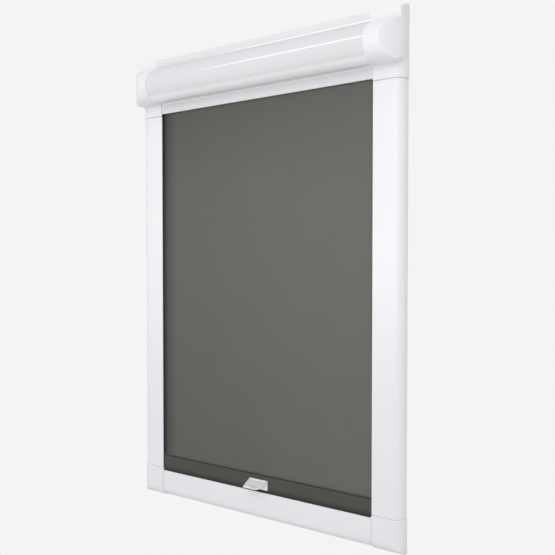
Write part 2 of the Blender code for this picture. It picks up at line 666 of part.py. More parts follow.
def make_pull_tab(finish, carriage):
    """Moulded pull tab: a plate on the bar's front and a scooped lip with a round plan."""
    back_y = BAR_Y - SLEEVE_HALF_T - GAP
    top = BAR_TOP_Z - TAB_DROP
    low_x, high_x = TAB_X - TAB_W / 2, TAB_X + TAB_W / 2
    plan = [(low_x, back_y), (high_x, back_y)]
    steps = 12
    for i in range(steps + 1):
        angle = math.pi * i / steps
        power = 1.3 if angle < math.pi / 2 else 0.5
        out = math.copysign(abs(math.cos(angle)) ** power, math.cos(angle))
        plan.append((TAB_X + TAB_W / 2 * out,
                     back_y - 3 * MM - (TAB_REACH - 3 * MM) * math.sin(angle) ** power))
    lip = overlap_of(prism(tab_section(back_y - MM, top), along_x, low_x, high_x),
                     prism(plan, along_z, top - 20 * MM, top + MM), finish)
    tab = new_object("pull_tab", block((low_x, back_y - TAB_T, top - TAB_H),
                                       (high_x, back_y, top)), finish)
    carried(combine(tab, lip, "UNION"), carriage)


# ---- the whole blind -------------------------------------------------------------------
def make_finishes():
    return {
        "white_coat": material("white_coat", (0.86, 0.87, 0.87), 0.38),
        "white_moulding": material("white_moulding", (0.84, 0.85, 0.85), 0.45),
        "fabric": material("fabric", (0.105, 0.110, 0.098), 0.90),
        "hem_fabric": material("hem_fabric", (0.050, 0.052, 0.046), 0.90),
        "aluminium": material("aluminium", (0.70, 0.71, 0.72), 0.35, 1.0),
        "tube_metal": material("tube_metal", (0.62, 0.63, 0.64), 0.40, 1.0),
        "plated_steel": material("plated_steel", (0.58, 0.58, 0.57), 0.35, 1.0),
        "spring_wire": material("spring_wire", (0.30, 0.30, 0.31), 0.35, 1.0),
        "nylon": material("nylon", (0.80, 0.80, 0.76), 0.50),
        "pile": material("pile", (0.62, 0.62, 0.60), 0.95),
        "felt": material("felt", (0.09, 0.09, 0.09), 0.95),
        "tab_plastic": material("tab_plastic", (0.78, 0.79, 0.77), 0.30),
    }


def make_screws(finish):
    """The screws that hold legs in rails and brackets on caps, on both sides."""
    for side, sign in SIDES.items():
        make_screw(f"{side}_cap_leg_screw", leg_screw_place(sign, SIDE_TOP - LEG_SCREW),
                   RAIL_SCREW_LONG, finish)
        make_screw(f"{side}_corner_side_screw", leg_screw_place(sign, SIDE_BOTTOM + LEG_SCREW),
                   RAIL_SCREW_LONG, finish)
        make_screw(f"{side}_corner_bottom_screw", bottom_screw_place(sign),
                   RAIL_SCREW_LONG, finish)
        for level, (y, z) in zip(("upper", "lower"), BRACKET_SCREW_YZ):
            make_screw(f"{side}_bracket_{level}_screw", bracket_screw_place(sign, y, z),
                       BRACKET_SCREW_LONG, finish)


def joint_empty(name, location):
    """An empty on a joint's axis, the parent of what moves with it."""
    made = bpy.data.objects.new(name, None)
    made.location = location
    bpy.context.scene.collection.objects.link(made)
    return made


def build():
    for old in list(bpy.data.objects):
        bpy.data.objects.remove(old)
    finishes = make_finishes()
    roller_axis = joint_empty("roller_axis", (0, ROLLER_Y, 0))
    carriage = joint_empty("bar_carriage", (0, BAR_Y, BAR_TOP_Z))

    make_side_rails(finishes["white_coat"])
    make_bottom_rail(finishes["white_coat"])
    make_corner_pieces(finishes["white_moulding"])
    make_pile_strips(finishes["pile"])
    make_window_clips(finishes["plated_steel"])
    make_cassette_back(finishes["white_coat"])
    make_cassette_cover(finishes["white_coat"])
    make_end_caps(finishes["white_moulding"])
    make_brackets(finishes["plated_steel"])
    make_exit_brush(finishes["pile"])
    make_roller(finishes, roller_axis)
    make_spring_motor(finishes)
    make_fabric(finishes["fabric"], carriage)
    make_bottom_bar(finishes, carriage)
    make_pull_tab(finishes["tab_plastic"], carriage)
    make_screws(finishes["plated_steel"])


build()
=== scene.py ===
"""Framed cassette roller blind, drawn fully down: fine shapes and finishes round the frame."""
import math

import bmesh
import bpy
import numpy as np
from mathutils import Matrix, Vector


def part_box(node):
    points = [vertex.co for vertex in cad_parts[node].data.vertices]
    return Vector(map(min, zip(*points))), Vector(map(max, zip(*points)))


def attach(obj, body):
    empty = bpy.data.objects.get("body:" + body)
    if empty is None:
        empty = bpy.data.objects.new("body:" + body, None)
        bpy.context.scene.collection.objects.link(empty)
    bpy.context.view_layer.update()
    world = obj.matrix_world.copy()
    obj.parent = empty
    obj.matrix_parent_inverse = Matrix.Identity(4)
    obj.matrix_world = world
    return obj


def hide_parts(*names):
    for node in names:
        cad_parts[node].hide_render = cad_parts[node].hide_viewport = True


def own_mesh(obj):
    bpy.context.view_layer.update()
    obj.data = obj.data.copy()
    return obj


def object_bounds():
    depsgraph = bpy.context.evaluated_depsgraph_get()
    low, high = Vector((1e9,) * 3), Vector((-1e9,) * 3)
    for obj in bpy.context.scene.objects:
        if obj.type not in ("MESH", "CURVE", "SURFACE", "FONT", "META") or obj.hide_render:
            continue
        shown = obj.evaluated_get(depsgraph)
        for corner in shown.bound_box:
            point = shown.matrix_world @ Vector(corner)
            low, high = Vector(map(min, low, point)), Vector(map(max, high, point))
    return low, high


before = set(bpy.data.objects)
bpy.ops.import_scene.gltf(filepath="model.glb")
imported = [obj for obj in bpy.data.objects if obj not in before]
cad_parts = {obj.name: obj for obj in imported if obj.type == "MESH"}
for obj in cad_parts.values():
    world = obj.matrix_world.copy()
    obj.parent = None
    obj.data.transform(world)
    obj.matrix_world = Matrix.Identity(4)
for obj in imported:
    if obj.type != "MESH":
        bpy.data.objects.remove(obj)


def outer_box():
    """The shown object's lowest and highest corner as plain lists."""
    return [[float(v) for v in corner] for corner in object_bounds()]


cad_box = outer_box()
MM = 0.001

# ---- camera ----------------------------------------------------------------------------
# Eye level a little below the head and to the right of the blind, looking left along it.
camera_data = bpy.data.cameras.new("camera")
camera_data.lens = 38.83
camera_data.sensor_width = 36.0
camera = bpy.data.objects.new("camera", camera_data)
camera.location = (0.3573, -0.5650, -0.2116)
camera.rotation_euler = (math.radians(90 - 1.27), 0.0, math.radians(30.88))
bpy.context.scene.collection.objects.link(camera)
bpy.context.scene.camera = camera

# ---- studio ----------------------------------------------------------------------------
# A white sweep, brighter overhead than below, with a softbox in front and one above, and
# a pale floor under the blind that is as bright as the background behind it.
PALE = 0.905
scene = bpy.context.scene
scene.view_settings.view_transform = "Standard"
scene.world = bpy.data.worlds.new("white sweep")
scene.world.use_nodes = True
sky = scene.world.node_tree
sky.nodes.clear()
seen, lit = sky.nodes.new("ShaderNodeBackground"), sky.nodes.new("ShaderNodeBackground")
seen.inputs["Color"].default_value = (PALE, PALE, PALE, 1)
lit.inputs["Color"].default_value = (0.97, 0.98, 1.0, 1)
direction = sky.nodes.new("ShaderNodeTexCoord")
axes, overhead = sky.nodes.new("ShaderNodeSeparateXYZ"), sky.nodes.new("ShaderNodeMapRange")
overhead.inputs["From Min"].default_value = -1.0
overhead.inputs["To Min"].default_value = 0.70
overhead.inputs["To Max"].default_value = 0.85
sky.links.new(direction.outputs["Generated"], axes.inputs[0])
sky.links.new(axes.outputs["Z"], overhead.inputs["Value"])
sky.links.new(overhead.outputs[0], lit.inputs["Strength"])
ray, blend_sky = sky.nodes.new("ShaderNodeLightPath"), sky.nodes.new("ShaderNodeMixShader")
sky.links.new(ray.outputs["Is Camera Ray"], blend_sky.inputs[0])
sky.links.new(lit.outputs[0], blend_sky.inputs[1])
sky.links.new(seen.outputs[0], blend_sky.inputs[2])
sky.links.new(blend_sky.outputs[0],
              sky.nodes.new("ShaderNodeOutputWorld").inputs["Surface"])


def softbox(name, position, target, width, height, power):
    """A rectangular area light that faces a point."""
    data = bpy.data.lights.new(name, "AREA")
    data.shape = "RECTANGLE"
    data.size, data.size_y = width, height
    data.energy = power
    lamp = bpy.data.objects.new(name, data)
    lamp.location = position
    lamp.rotation_euler = (Vector(target) - Vector(position)).to_track_quat("-Z", "Y").to_euler()
    bpy.context.scene.collection.objects.link(lamp)


softbox("main softbox", (0.25, -1.20, 0.20), (0.05, 0.0, -0.16), 1.0, 0.8, 4.15)
softbox("top softbox", (0.0, -0.75, 0.95), (0.0, -0.03, 0.0), 0.8, 0.4, 0.8)
softbox("under-hood fill", (0.0, -0.30, -0.22), (0.0, -0.03, 0.0), 0.5, 0.1, 0.23)

floor_size = 6.0
floor_mesh = bpy.data.meshes.new("floor")
floor_z = cad_box[0][2] - 0.4 * MM
floor_corners = [(-1, -1), (1, -1), (1, 1), (-1, 1)]
floor_mesh.from_pydata([(x * floor_size, y * floor_size, floor_z) for x, y in floor_corners],
                       [], [(0, 1, 2, 3)])
floor = bpy.data.objects.new("floor", floor_mesh)
bpy.context.scene.collection.objects.link(floor)
floor_paint = bpy.data.materials.new("pale floor")
floor_paint.use_nodes = True
floor_shader = floor_paint.node_tree.nodes["Principled BSDF"]
floor_shader.inputs["Base Color"].default_value = (0.0, 0.0, 0.0, 1)
floor_shader.inputs["Specular IOR Level"].default_value = 0.0
floor_shader.inputs["Roughness"].default_value = 1.0
floor_shader.inputs["Emission Color"].default_value = (PALE, PALE, PALE, 1)
floor_shader.inputs["Emission Strength"].default_value = 1.0
floor_mesh.materials.append(floor_paint)
floor.visible_diffuse = False
floor.visible_glossy = False


# ---- side rails and bottom rail --------------------------------------------------------
# One aluminium extrusion, powder-coated white: a flat face, a rounded outer edge, a slot
# for the fabric and a rear recess.  It is cut to length and joined by moulded corners.
class Wire:
    """An output of a shader node; arithmetic on it adds Math nodes."""

    def __init__(self, socket):
        self.socket = socket

    def maths(self, operation, first, second):
        node = self.socket.id_data.nodes.new("ShaderNodeMath")
        node.operation = operation
        plug(node.inputs[0], first)
        plug(node.inputs[1], second)
        return Wire(node.outputs[0])

    def __add__(self, other):
        return self.maths("ADD", self, other)

    def __radd__(self, other):
        return self.maths("ADD", other, self)

    def __sub__(self, other):
        return self.maths("SUBTRACT", self, other)

    def __rsub__(self, other):
        return self.maths("SUBTRACT", other, self)

    def __mul__(self, other):
        return self.maths("MULTIPLY", self, other)

    def __rmul__(self, other):
        return self.maths("MULTIPLY", other, self)


def plug(slot, value):
    """Link a wire to a node's socket, or set the socket's value."""
    if isinstance(value, Wire):
        slot.id_data.links.new(value.socket, slot)
    else:
        slot.default_value = value


class Finish:
    """A procedural material: one Principled shader and the nodes that vary it."""

    def __init__(self, name, **fixed):
        self.material = bpy.data.materials.new(name)
        self.material.use_nodes = True
        self.tree = self.material.node_tree
        self.shader = self.tree.nodes["Principled BSDF"]
        self.here = self.node("TexCoord", out="Object")
        self.set(**fixed)

    def node(self, kind, settings=None, out=0, **values):
        """Add a node: its settings first, then the values or wires of its sockets."""
        made = self.tree.nodes.new("ShaderNode" + kind)
        for key, value in (settings or {}).items():
            setattr(made, key, value)
        for key, value in values.items():
            plug(made.inputs[int(key[1:]) if key[1:].isdigit() else key.replace("_", " ")],
                 value)
        return Wire(made.outputs[out])

    def set(self, **values):
        for key, value in values.items():
            plug(self.shader.inputs[key.replace("_", " ")], value)

    def maths_of(self, operation, value):
        """A Math node on one value."""
        return self.node("Math", {"operation": operation}, _0=value)

    def noise(self, size, detail=2.0, stretch=(1, 1, 1), rough=0.5):
        """Noise with grains of a size in metres, longer along an axis with a small stretch."""
        spot = self.node("Mapping", Vector=self.here, Scale=stretch)
        return self.node("TexNoise", Vector=spot, Scale=1.0 / size, Detail=detail,
                         Roughness=rough)

    def mask(self, value, low, high):
        """0 below low, 1 above high."""
        return self.node("MapRange", {"clamp": True, "interpolation_type": "SMOOTHSTEP"},
                         Value=value, From_Min=low, From_Max=high)

    def between(self, factor, first, second):
        """Mix two colours."""
        return self.node("Mix", {"data_type": "RGBA"}, out=2, _0=factor, _6=first, _7=second)

    def bump(self, height, depth):
        return self.node("Bump", Height=height, Distance=depth, Strength=1.0)


def tint(colour, factor=1.0):
    return (*(c * factor for c in colour), 1.0)


def refinish(material, *nodes):
    """Give pieces that keep the frame's own shape a procedural material."""
    for name in nodes:
        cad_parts[name].data.materials.clear()
        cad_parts[name].data.materials.append(material)


def white_finish(name, colour, grain, depth, gloss, creases=(), paler=()):
    """White coating or moulding: fine grain, uneven gloss, light dust on the head's top
    and a grey painted shade along the blind's lowest edge.

    creases are (y, z) lines along X with a painted highlight, brighter and smoother,
    and paler is a (low, high) range of Z that is painted lighter, as painted light."""
    made = Finish(name, Specular_IOR_Level=0.5)
    broad = made.noise(55 * MM, 3.0)
    fine = made.noise(grain, 2.0, rough=0.55)
    settled = made.noise(2.6 * MM, 4.0, rough=0.7)
    x, y, z = (made.node("SeparateXYZ", Vector=made.here, out=axis) for axis in "XYZ")
    head_high = cad_box[1][2]
    dust = (made.mask(z, head_high - 8.6 * MM, head_high - 3.6 * MM)
            * made.mask(settled, 0.42, 0.70))
    base = made.between(made.mask(broad, 0.3, 0.7), tint(colour, 0.985), tint(colour))
    base = made.between(dust * 0.16, base, tint((0.62, 0.60, 0.56)))
    # Painted shade: a grey tone along the blind's lowest edge.
    painted_low_shade = 1.0 - made.mask(z, cad_box[0][2] - 0.4 * MM, cad_box[0][2] + 6.1 * MM)
    base = made.between(painted_low_shade * 0.45, base, tint((0.45, 0.45, 0.46)))
    rough = gloss + (broad - 0.5) * 0.08 + (fine - 0.5) * 0.10 + dust * 0.12
    # Painted light: the paler range of Z is lifted towards white.
    if paler:
        band = (made.mask(z, paler[0] - 0.4 * MM, paler[0] + 0.4 * MM)
                - made.mask(z, (paler[0] + paler[1]) / 2, paler[1]))
        base = made.between(band * 0.7, base, tint((0.97, 0.97, 0.98)))
    # Painted highlight along each crease: brighter and smoother, fading out towards the left.
    for at_y, at_z in creases:
        away = made.maths_of("ABSOLUTE", y - at_y) + made.maths_of("ABSOLUTE", z - at_z)
        painted_highlight = ((1.0 - made.mask(away, 0.25 * MM, 1.1 * MM))
                    * made.mask(x, -110 * MM, 40 * MM))
        base = made.between(painted_highlight, base, tint((1.0, 1.0, 1.0)))
        rough = rough - painted_highlight * 0.12
    made.set(Base_Color=base, Roughness=rough, Normal=made.bump(fine, depth))
    return made.material


WHITE = (0.825, 0.825, 0.835)
powder_coat = white_finish("white powder coat", WHITE, 0.9 * MM, 0.012 * MM, 0.34)

open_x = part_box("right_side_rail")[0][0]        # edge of the opening
rail_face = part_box("right_side_rail")[1][0] - open_x
front_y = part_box("right_side_rail")[0][1]       # plane of the rails' faces
open_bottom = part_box("bottom_rail")[1][2]
rail_round, rail_round_depth = 10.6 * MM, 11.0 * MM
wall = 1.3 * MM
slot_back = front_y + wall + 4.5 * MM
web_u = 14.4 * MM


def arc(centre, radius, start_deg, end_deg, steps):
    """Points on an arc, both ends included."""
    angles = [math.radians(start_deg + (end_deg - start_deg) * i / steps)
              for i in range(steps + 1)]
    return [(centre[0] + radius * math.cos(a), centre[1] + radius * math.sin(a))
            for a in angles]


def rail_outline(grow=0.0, start=0.0, steps=20):
    """Outside of a rail in (u, y), from the opening's edge round to the outer back edge."""
    flat_end = rail_face - rail_round
    outline = [(start, 0.0), (start, front_y - grow), (flat_end, front_y - grow)]
    for i in range(1, steps + 1):
        angle = math.pi / 2 * i / steps
        outline.append((flat_end + (rail_round + grow) * math.sin(angle), front_y
                        + rail_round_depth - (rail_round_depth + grow) * math.cos(angle)))
    return outline + [(rail_face + grow, 0.0)]


def walled(path, thickness):
    """Closed outline of a wall whose outer side is the path and whose inside is its left."""
    points = [Vector(p) for p in path]
    inner = []
    for i, point in enumerate(points):
        before = (point - points[i - 1]).normalized() if i else None
        after = (points[i + 1] - point).normalized() if i + 1 < len(points) else None
        first, second = before or after, after or before
        left = Vector((-first.y, first.x))
        normal = (left + Vector((-second.y, second.x))).normalized()
        inner.append(point + normal * thickness / max(0.35, normal.dot(left)))
    return [tuple(p) for p in points] + [tuple(p) for p in reversed(inner)]


def eased(outline, radius, steps=3, sharp_deg=25):
    """The outline with its sharp corners rounded to a small radius."""
    points = [Vector(p) for p in outline]
    result = []
    for i, corner in enumerate(points):
        back, ahead = points[i - 1] - corner, points[(i + 1) % len(points)] - corner
        bend = math.pi - back.angle(ahead)
        if math.degrees(bend) < sharp_deg:
            result.append(tuple(corner))
            continue
        reach = min(radius * math.tan(bend / 2), 0.45 * back.length, 0.45 * ahead.length)
        start, end = corner + back.normalized() * reach, corner + ahead.normalized() * reach
        for k in range(steps + 1):
            t = k / steps
            result.append(tuple(start * (1 - t) ** 2 + corner * 2 * t * (1 - t) + end * t * t))
    return result


def tree_for(name, *inputs):
    """An empty Geometry Nodes tree with named inputs; each is (name, socket type)."""
    tree = bpy.data.node_groups.new(name, "GeometryNodeTree")
    tree.interface.new_socket("Geometry", in_out="INPUT", socket_type="NodeSocketGeometry")
    tree.interface.new_socket("Geometry", in_out="OUTPUT", socket_type="NodeSocketGeometry")
    for title, kind in inputs:
        tree.interface.new_socket(title, in_out="INPUT", socket_type="NodeSocket" + kind)
    return tree, tree.nodes.new("NodeGroupInput"), tree.nodes.new("NodeGroupOutput")


def add(tree, kind, settings=None, **values):
    """Add a node to a Geometry Nodes tree; values are sockets to link or numbers to set."""
    node = tree.nodes.new(kind)
    for key, value in (settings or {}).items():
        setattr(node, key, value)
    for key, value in values.items():
        place = node.inputs[int(key[1:]) if key[1:].isdigit() else key.replace("_", " ")]
        if isinstance(value, bpy.types.NodeSocket):
            tree.links.new(value, place)
        else:
            place.default_value = value
    return node


def grown(name, mesh, tree, **values):
    """Run a tree on a mesh and keep the result as a plain object."""
    made = bpy.data.objects.new(name, mesh)
    bpy.context.scene.collection.objects.link(made)
    step = made.modifiers.new("grow", "NODES")
    step.node_group = tree
    for item in tree.interface.items_tree:
        if item.in_out == "INPUT" and item.name in values:
            step[item.identifier] = values[item.name]
    made.update_tag()
    result = bpy.data.meshes.new_from_object(
        made.evaluated_get(bpy.context.evaluated_depsgraph_get()))
    made.modifiers.remove(step)
    made.data = result
    result.name = name
    shade(result)
    return made


def shade(mesh, sharp_deg=30):
    mesh.shade_smooth()
    mesh.set_sharp_from_angle(angle=math.radians(sharp_deg))


def extrusion_tree():
    """Pulls a section along a direction and closes both cut ends."""
    tree, given, result = tree_for("extrusion", ("Length", "Vector"), ("Finish", "Material"))
    pulled = add(tree, "GeometryNodeExtrudeMesh", {"mode": "FACES"}, Mesh=given.outputs[0],
                 Offset=given.outputs["Length"], Offset_Scale=1.0, Individual=False)
    start = add(tree, "GeometryNodeFlipFaces", Mesh=given.outputs[0])
    both = add(tree, "GeometryNodeJoinGeometry")
    tree.links.new(pulled.outputs[0], both.inputs[0])
    tree.links.new(start.outputs[0], both.inputs[0])
    welded = add(tree, "GeometryNodeMergeByDistance", Geometry=both.outputs[0],
                 Distance=0.001 * MM)
    real = add(tree, "GeometryNodeRealizeInstances", Geometry=welded.outputs[0])
    finished = add(tree, "GeometryNodeSetMaterial", Geometry=real.outputs[0],
                   Material=given.outputs["Finish"])
    tree.links.new(finished.outputs[0], result.inputs[0])
    return tree


extrude = extrusion_tree()


def extrusion(name, outline, place, low, high, finish):
    """A section drawn as an outline of (u, v), pulled from w = low to w = high."""
    points = [place(u, v, low) for u, v in outline]
    pull = place(0, 0, high) - place(0, 0, low)
    section = bpy.data.meshes.new(name)
    section.from_pydata(points, [], [tuple(range(len(points)))])
    section.update()
    if section.polygons[0].normal.dot(pull) < 0:
        section.flip_normals()
    return grown(name, section, extrude, Length=pull, Finish=finish)


def along_x(y, z, x):
    return Vector((x, y, z))


def along_y(x, z, y):
    return Vector((x, y, z))


def along_z(x, y, z):
    return Vector((x, y, z))


def rail_side(sign):
    """Placement of a rail's section on one side: u runs outwards from the opening."""
    return lambda u, y, z: Vector((sign * (open_x + u), y, z))


def bottom_side(u, y, x):
    """Placement of a rail's section at the bottom: u runs downwards."""
    return Vector((x, y, open_bottom - u))


slot_wall = slot_back + wall
rail_path = rail_outline()[1:] + [(web_u, 0.0), (web_u, slot_wall), (0.0, slot_wall)]
rail_section = eased(walled(rail_path, wall), 0.35 * MM)
for side, sign in (("left", -1), ("right", 1)):
    low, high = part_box(f"{side}_side_rail")
    rail = extrusion(f"{side}_rail_extrusion", rail_section, rail_side(sign),
                     low[2], high[2], powder_coat)
    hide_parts(f"{side}_side_rail")
    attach(rail, "frame")
low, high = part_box("bottom_rail")
rail = extrusion("bottom_rail_extrusion", rail_section, bottom_side, low[0], high[0], powder_coat)
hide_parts("bottom_rail")
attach(rail, "frame")

# ---- head: back and cover --------------------------------------------------------------
# Two more white extrusions.  The back has the upright flange; the cover is the round hood
# with a flat band below, hooked behind the flange and held at both ends by the caps.
back_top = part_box("cassette_back")[1][2]
open_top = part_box("cassette_back")[0][2]
flange_depth, flange_edge, top_slope = -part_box("cassette_back")[0][1], 2.4 * MM, 0.39
roller_y = (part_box("roller_tube")[0][1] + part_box("roller_tube")[1][1]) / 2
hood_r, hood_rise, hood_top_z, crease_z = 20.4 * MM, 4.1 * MM, 20.9 * MM, -19.2 * MM
nose_y = roller_y - hood_r
gap = 0.3 * MM


def hood_outline(inset=0.0, steps=22):
    """Upper face, nose and underside of the hood in (y, z), down to the crease."""
    root = Vector((-flange_depth + 0.6 * MM, hood_top_z))
    nose = Vector((nose_y, 0.4 * MM))
    half = (nose - root).length / 2
    radius = (half * half + hood_rise * hood_rise) / (2 * hood_rise)
    inward = Vector((root.y - nose.y, nose.x - root.x)).normalized()
    centre = (root + nose) / 2 + inward * (radius - hood_rise)
    start = math.degrees(math.atan2(root.y - centre.y, root.x - centre.x))
    end = math.degrees(math.atan2(nose.y - centre.y, nose.x - centre.x)) % 360
    upper = arc(centre, radius - inset, start, end, steps)
    lower = arc((roller_y, 0.0), hood_r - inset, 181, 270, steps)
    return upper + lower + [(front_y + inset, crease_z + inset * 0.6)]


def flange_outline(inset=0.0, lift=0.0):
    """Top of the head in (y, z): back edge, sloping top and rounded front edge."""
    fall = math.atan(top_slope)
    top = back_top + lift - inset / math.cos(fall)
    radius = flange_edge - inset * 0.5
    centre_y = -flange_depth + inset + radius
    centre_z = top + top_slope * centre_y - radius / math.cos(fall)
    return ([(-inset, top - top_slope * inset)]
            + arc((centre_y, centre_z), radius, 90 + math.degrees(fall), 180, 10))


back_path = [(-5.0 * MM, open_top), (0.0, open_top)] + flange_outline()
back_path += [(-flange_depth, hood_top_z + gap)]
hook_y = -flange_depth + wall + gap
cover_path = [(hook_y, hood_top_z + 6 * MM), (hook_y, hood_top_z)] + hood_outline()[1:]
cover_path += [(front_y, open_top)]
# The coat is the rails' own; both are darkened here as painted shade, and the cover is
# painted paler above its crease as painted light, with painted highlights on its creases.
cover_coat = white_finish("white coat on the cover", tint(WHITE, 0.86)[:3], 0.9 * MM,
                          0.012 * MM, 0.36,
                          creases=((-flange_depth, hood_top_z + 0.7 * MM),
                                   (nose_y + 0.2 * MM, 1.4 * MM)),
                          paler=(crease_z - 0.7 * MM, crease_z + 6 * MM))
back_coat = white_finish("white coat on the head back", tint(WHITE, 0.91)[:3], 0.9 * MM,
                         0.012 * MM, 0.34, creases=((-flange_depth, hood_top_z + 2.0 * MM),))
left_gap, run_in = 0.15 * MM, 1.0 * MM          # the right end runs into its cap: no seam
for name, path, node, coat in (("head_back", back_path, "cassette_back", back_coat),
                               ("head_cover", cover_path, "cassette_cover", cover_coat)):
    low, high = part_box(node)
    piece = extrusion(name, eased(walled(path, wall), 0.35 * MM), along_x,
                      low[0] + left_gap, high[0] + run_in, coat)
    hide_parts(node)
    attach(piece, "frame")

# ---- end caps --------------------------------------------------------------------------
# Injection-moulded white plastic.  Each closes the hood with a rounded end whose faces
# meet in soft mitres, and carries a leg that plugs into the side rail.
moulded_white = white_finish("white moulded plastic", WHITE, 0.45 * MM, 0.008 * MM, 0.42)
cap_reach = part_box("right_end_cap")[1][0] - open_x
side_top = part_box("right_side_rail")[1][2] + gap
cap_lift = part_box("right_end_cap")[1][2] - back_top
proud, moulded_wall = 0.8 * MM, 2.0 * MM
cap_top_r, cap_low_r = 1.5 * MM, 8.0 * MM
leg_u = (web_u + wall + 0.7 * MM, rail_face - rail_round + 0.4 * MM)
leg_y = (front_y + wall + 0.4 * MM, -wall - 0.6 * MM)
leg_long = 20.0 * MM
tongue_low, tongue_top, root_top = 27.4 * MM, 30.0 * MM, 32.9 * MM
tongue_y = (-15 * MM, -4 * MM)
body_top = 26 * MM
post_r, pilot_r = 3.2 * MM, 1.28 * MM


def prism(outline, place, low, high):
    """A closed bmesh between two copies of an outline."""
    shape = bmesh.new()
    base = [shape.verts.new(place(u, v, low)) for u, v in outline]
    top = [shape.verts.new(place(u, v, high)) for u, v in outline]
    shape.faces.new(base)
    shape.faces.new(list(reversed(top)))
    for i in range(len(outline)):
        j = (i + 1) % len(outline)
        shape.faces.new((base[i], top[i], top[j], base[j]))
    return shape


def block(low, high):
    corners = [(low[0], low[1]), (high[0], low[1]), (high[0], high[1]), (low[0], high[1])]
    return prism(corners, along_z, low[2], high[2])


def solid(name, shape):
    """A bmesh as an object with outward faces."""
    bmesh.ops.remove_doubles(shape, verts=shape.verts, dist=1e-7)
    bmesh.ops.recalc_face_normals(shape, faces=shape.faces)
    mesh = bpy.data.meshes.new(name)
    shape.to_mesh(mesh)
    shape.free()
    made = bpy.data.objects.new(name, mesh)
    bpy.context.scene.collection.objects.link(made)
    return made


def settle(target):
    """Apply an object's modifiers to its mesh."""
    result = bpy.data.meshes.new_from_object(
        target.evaluated_get(bpy.context.evaluated_depsgraph_get()))
    target.modifiers.clear()
    target.data = result
    return target


def combine(target, tool_shape, operation):
    """One exact Boolean with a bmesh as the tool."""
    tool = solid("cutter", tool_shape)
    step = target.modifiers.new("boolean", "BOOLEAN")
    step.solver = "EXACT"
    step.operation = operation
    step.object = tool
    settle(target)
    bpy.data.objects.remove(tool)
    return target


def overlap_of(first_shape, second_shape):
    scratch = combine(solid("scratch", first_shape), second_shape, "INTERSECT")
    shape = bmesh.new()
    shape.from_mesh(scratch.data)
    bpy.data.objects.remove(scratch)
    return shape


def soften(target, voxel, rounds):
    """Rebuild a solid as an even mesh and relax it, which rounds all of its edges."""
    remesh = target.modifiers.new("even", "REMESH")
    remesh.mode = "VOXEL"
    remesh.voxel_size = voxel
    relax = target.modifiers.new("relax", "SMOOTH")
    relax.factor, relax.iterations = 0.5, rounds
    return settle(target)


def gusset(corner_z, up, radius):
    """The small round in the opening's right-hand corner, as thick as a moulded wall."""
    centre = (open_x - radius, corner_z - up * radius)
    outline = [(open_x + MM, corner_z - up * radius), (open_x + MM, corner_z)]
    outline += arc(centre, radius, 90 * up, 0, 10)
    return prism(outline, along_y, front_y - proud, front_y - proud + moulded_wall)


flank = ((1.0, 0.0), (0.997, 0.102), (0.975, 0.211), (0.932, 0.333), (0.858, 0.476),
         (0.765, 0.619), (0.657, 0.748), (0.543, 0.861), (0.491, 0.905), (0.352, 0.959),
         (0.167, 0.993), (0.0, 1.0))


def cap_plan(inset):
    """Plan of the hood's end: a front round, a bend, a nearly flat flank and the side."""
    reach = cap_reach - inset
    straight = -12.0 * MM
    depth = straight - nose_y - inset
    plan = [(open_x - inset, -inset), (open_x + reach, -inset)]
    plan += [(open_x + reach * out, straight - depth * ahead) for out, ahead in flank[:-1]]
    return plan + [(open_x - inset, straight - depth)]


def cap_face(inset):
    """Front view of the hood's end, with its two outer corners rounded, in (x, z)."""
    right, top, low = open_x + cap_reach - inset, back_top + cap_lift - inset, -hood_r + inset
    top_r = max(cap_top_r - inset, 0.4 * MM)
    face = [(open_x - inset, top)]
    face += arc((right - top_r, top - top_r), top_r, 90, 0, 12)
    face += arc((right + inset - cap_low_r, low - inset + cap_low_r), cap_low_r - inset,
                0, -90, 14)
    return face + [(open_x - inset, low)]


def cap_hood(inset):
    """The head's section, the plan and the front view of the end in common."""
    section = [(-inset, crease_z + inset)] + flange_outline(inset, cap_lift)
    section += hood_outline(inset)
    shape = prism(section, along_x, open_x - inset, open_x + cap_reach)
    shape = overlap_of(shape, prism(cap_plan(inset), along_z, -0.1, 0.1))
    return overlap_of(shape, prism(cap_face(inset), along_y, -0.1, MM))


def cap_body(inset, low):
    """The rear body and leg: the rail's outside carried up to the head's top."""
    outline = [(u, min(y, -inset)) for u, y in rail_outline(proud - inset, -inset)]
    return prism(outline, rail_side(1), low, body_top)


def mirrored_copy(source, name):
    """The left-hand twin of a right-hand piece."""
    shape = bmesh.new()
    shape.from_mesh(source.data)
    bmesh.ops.scale(shape, vec=(-1, 1, 1), verts=shape.verts)
    bmesh.ops.reverse_faces(shape, faces=shape.faces)
    mesh = bpy.data.meshes.new(name)
    shape.to_mesh(mesh)
    shape.free()
    made = bpy.data.objects.new(name, mesh)
    bpy.context.scene.collection.objects.link(made)
    return made


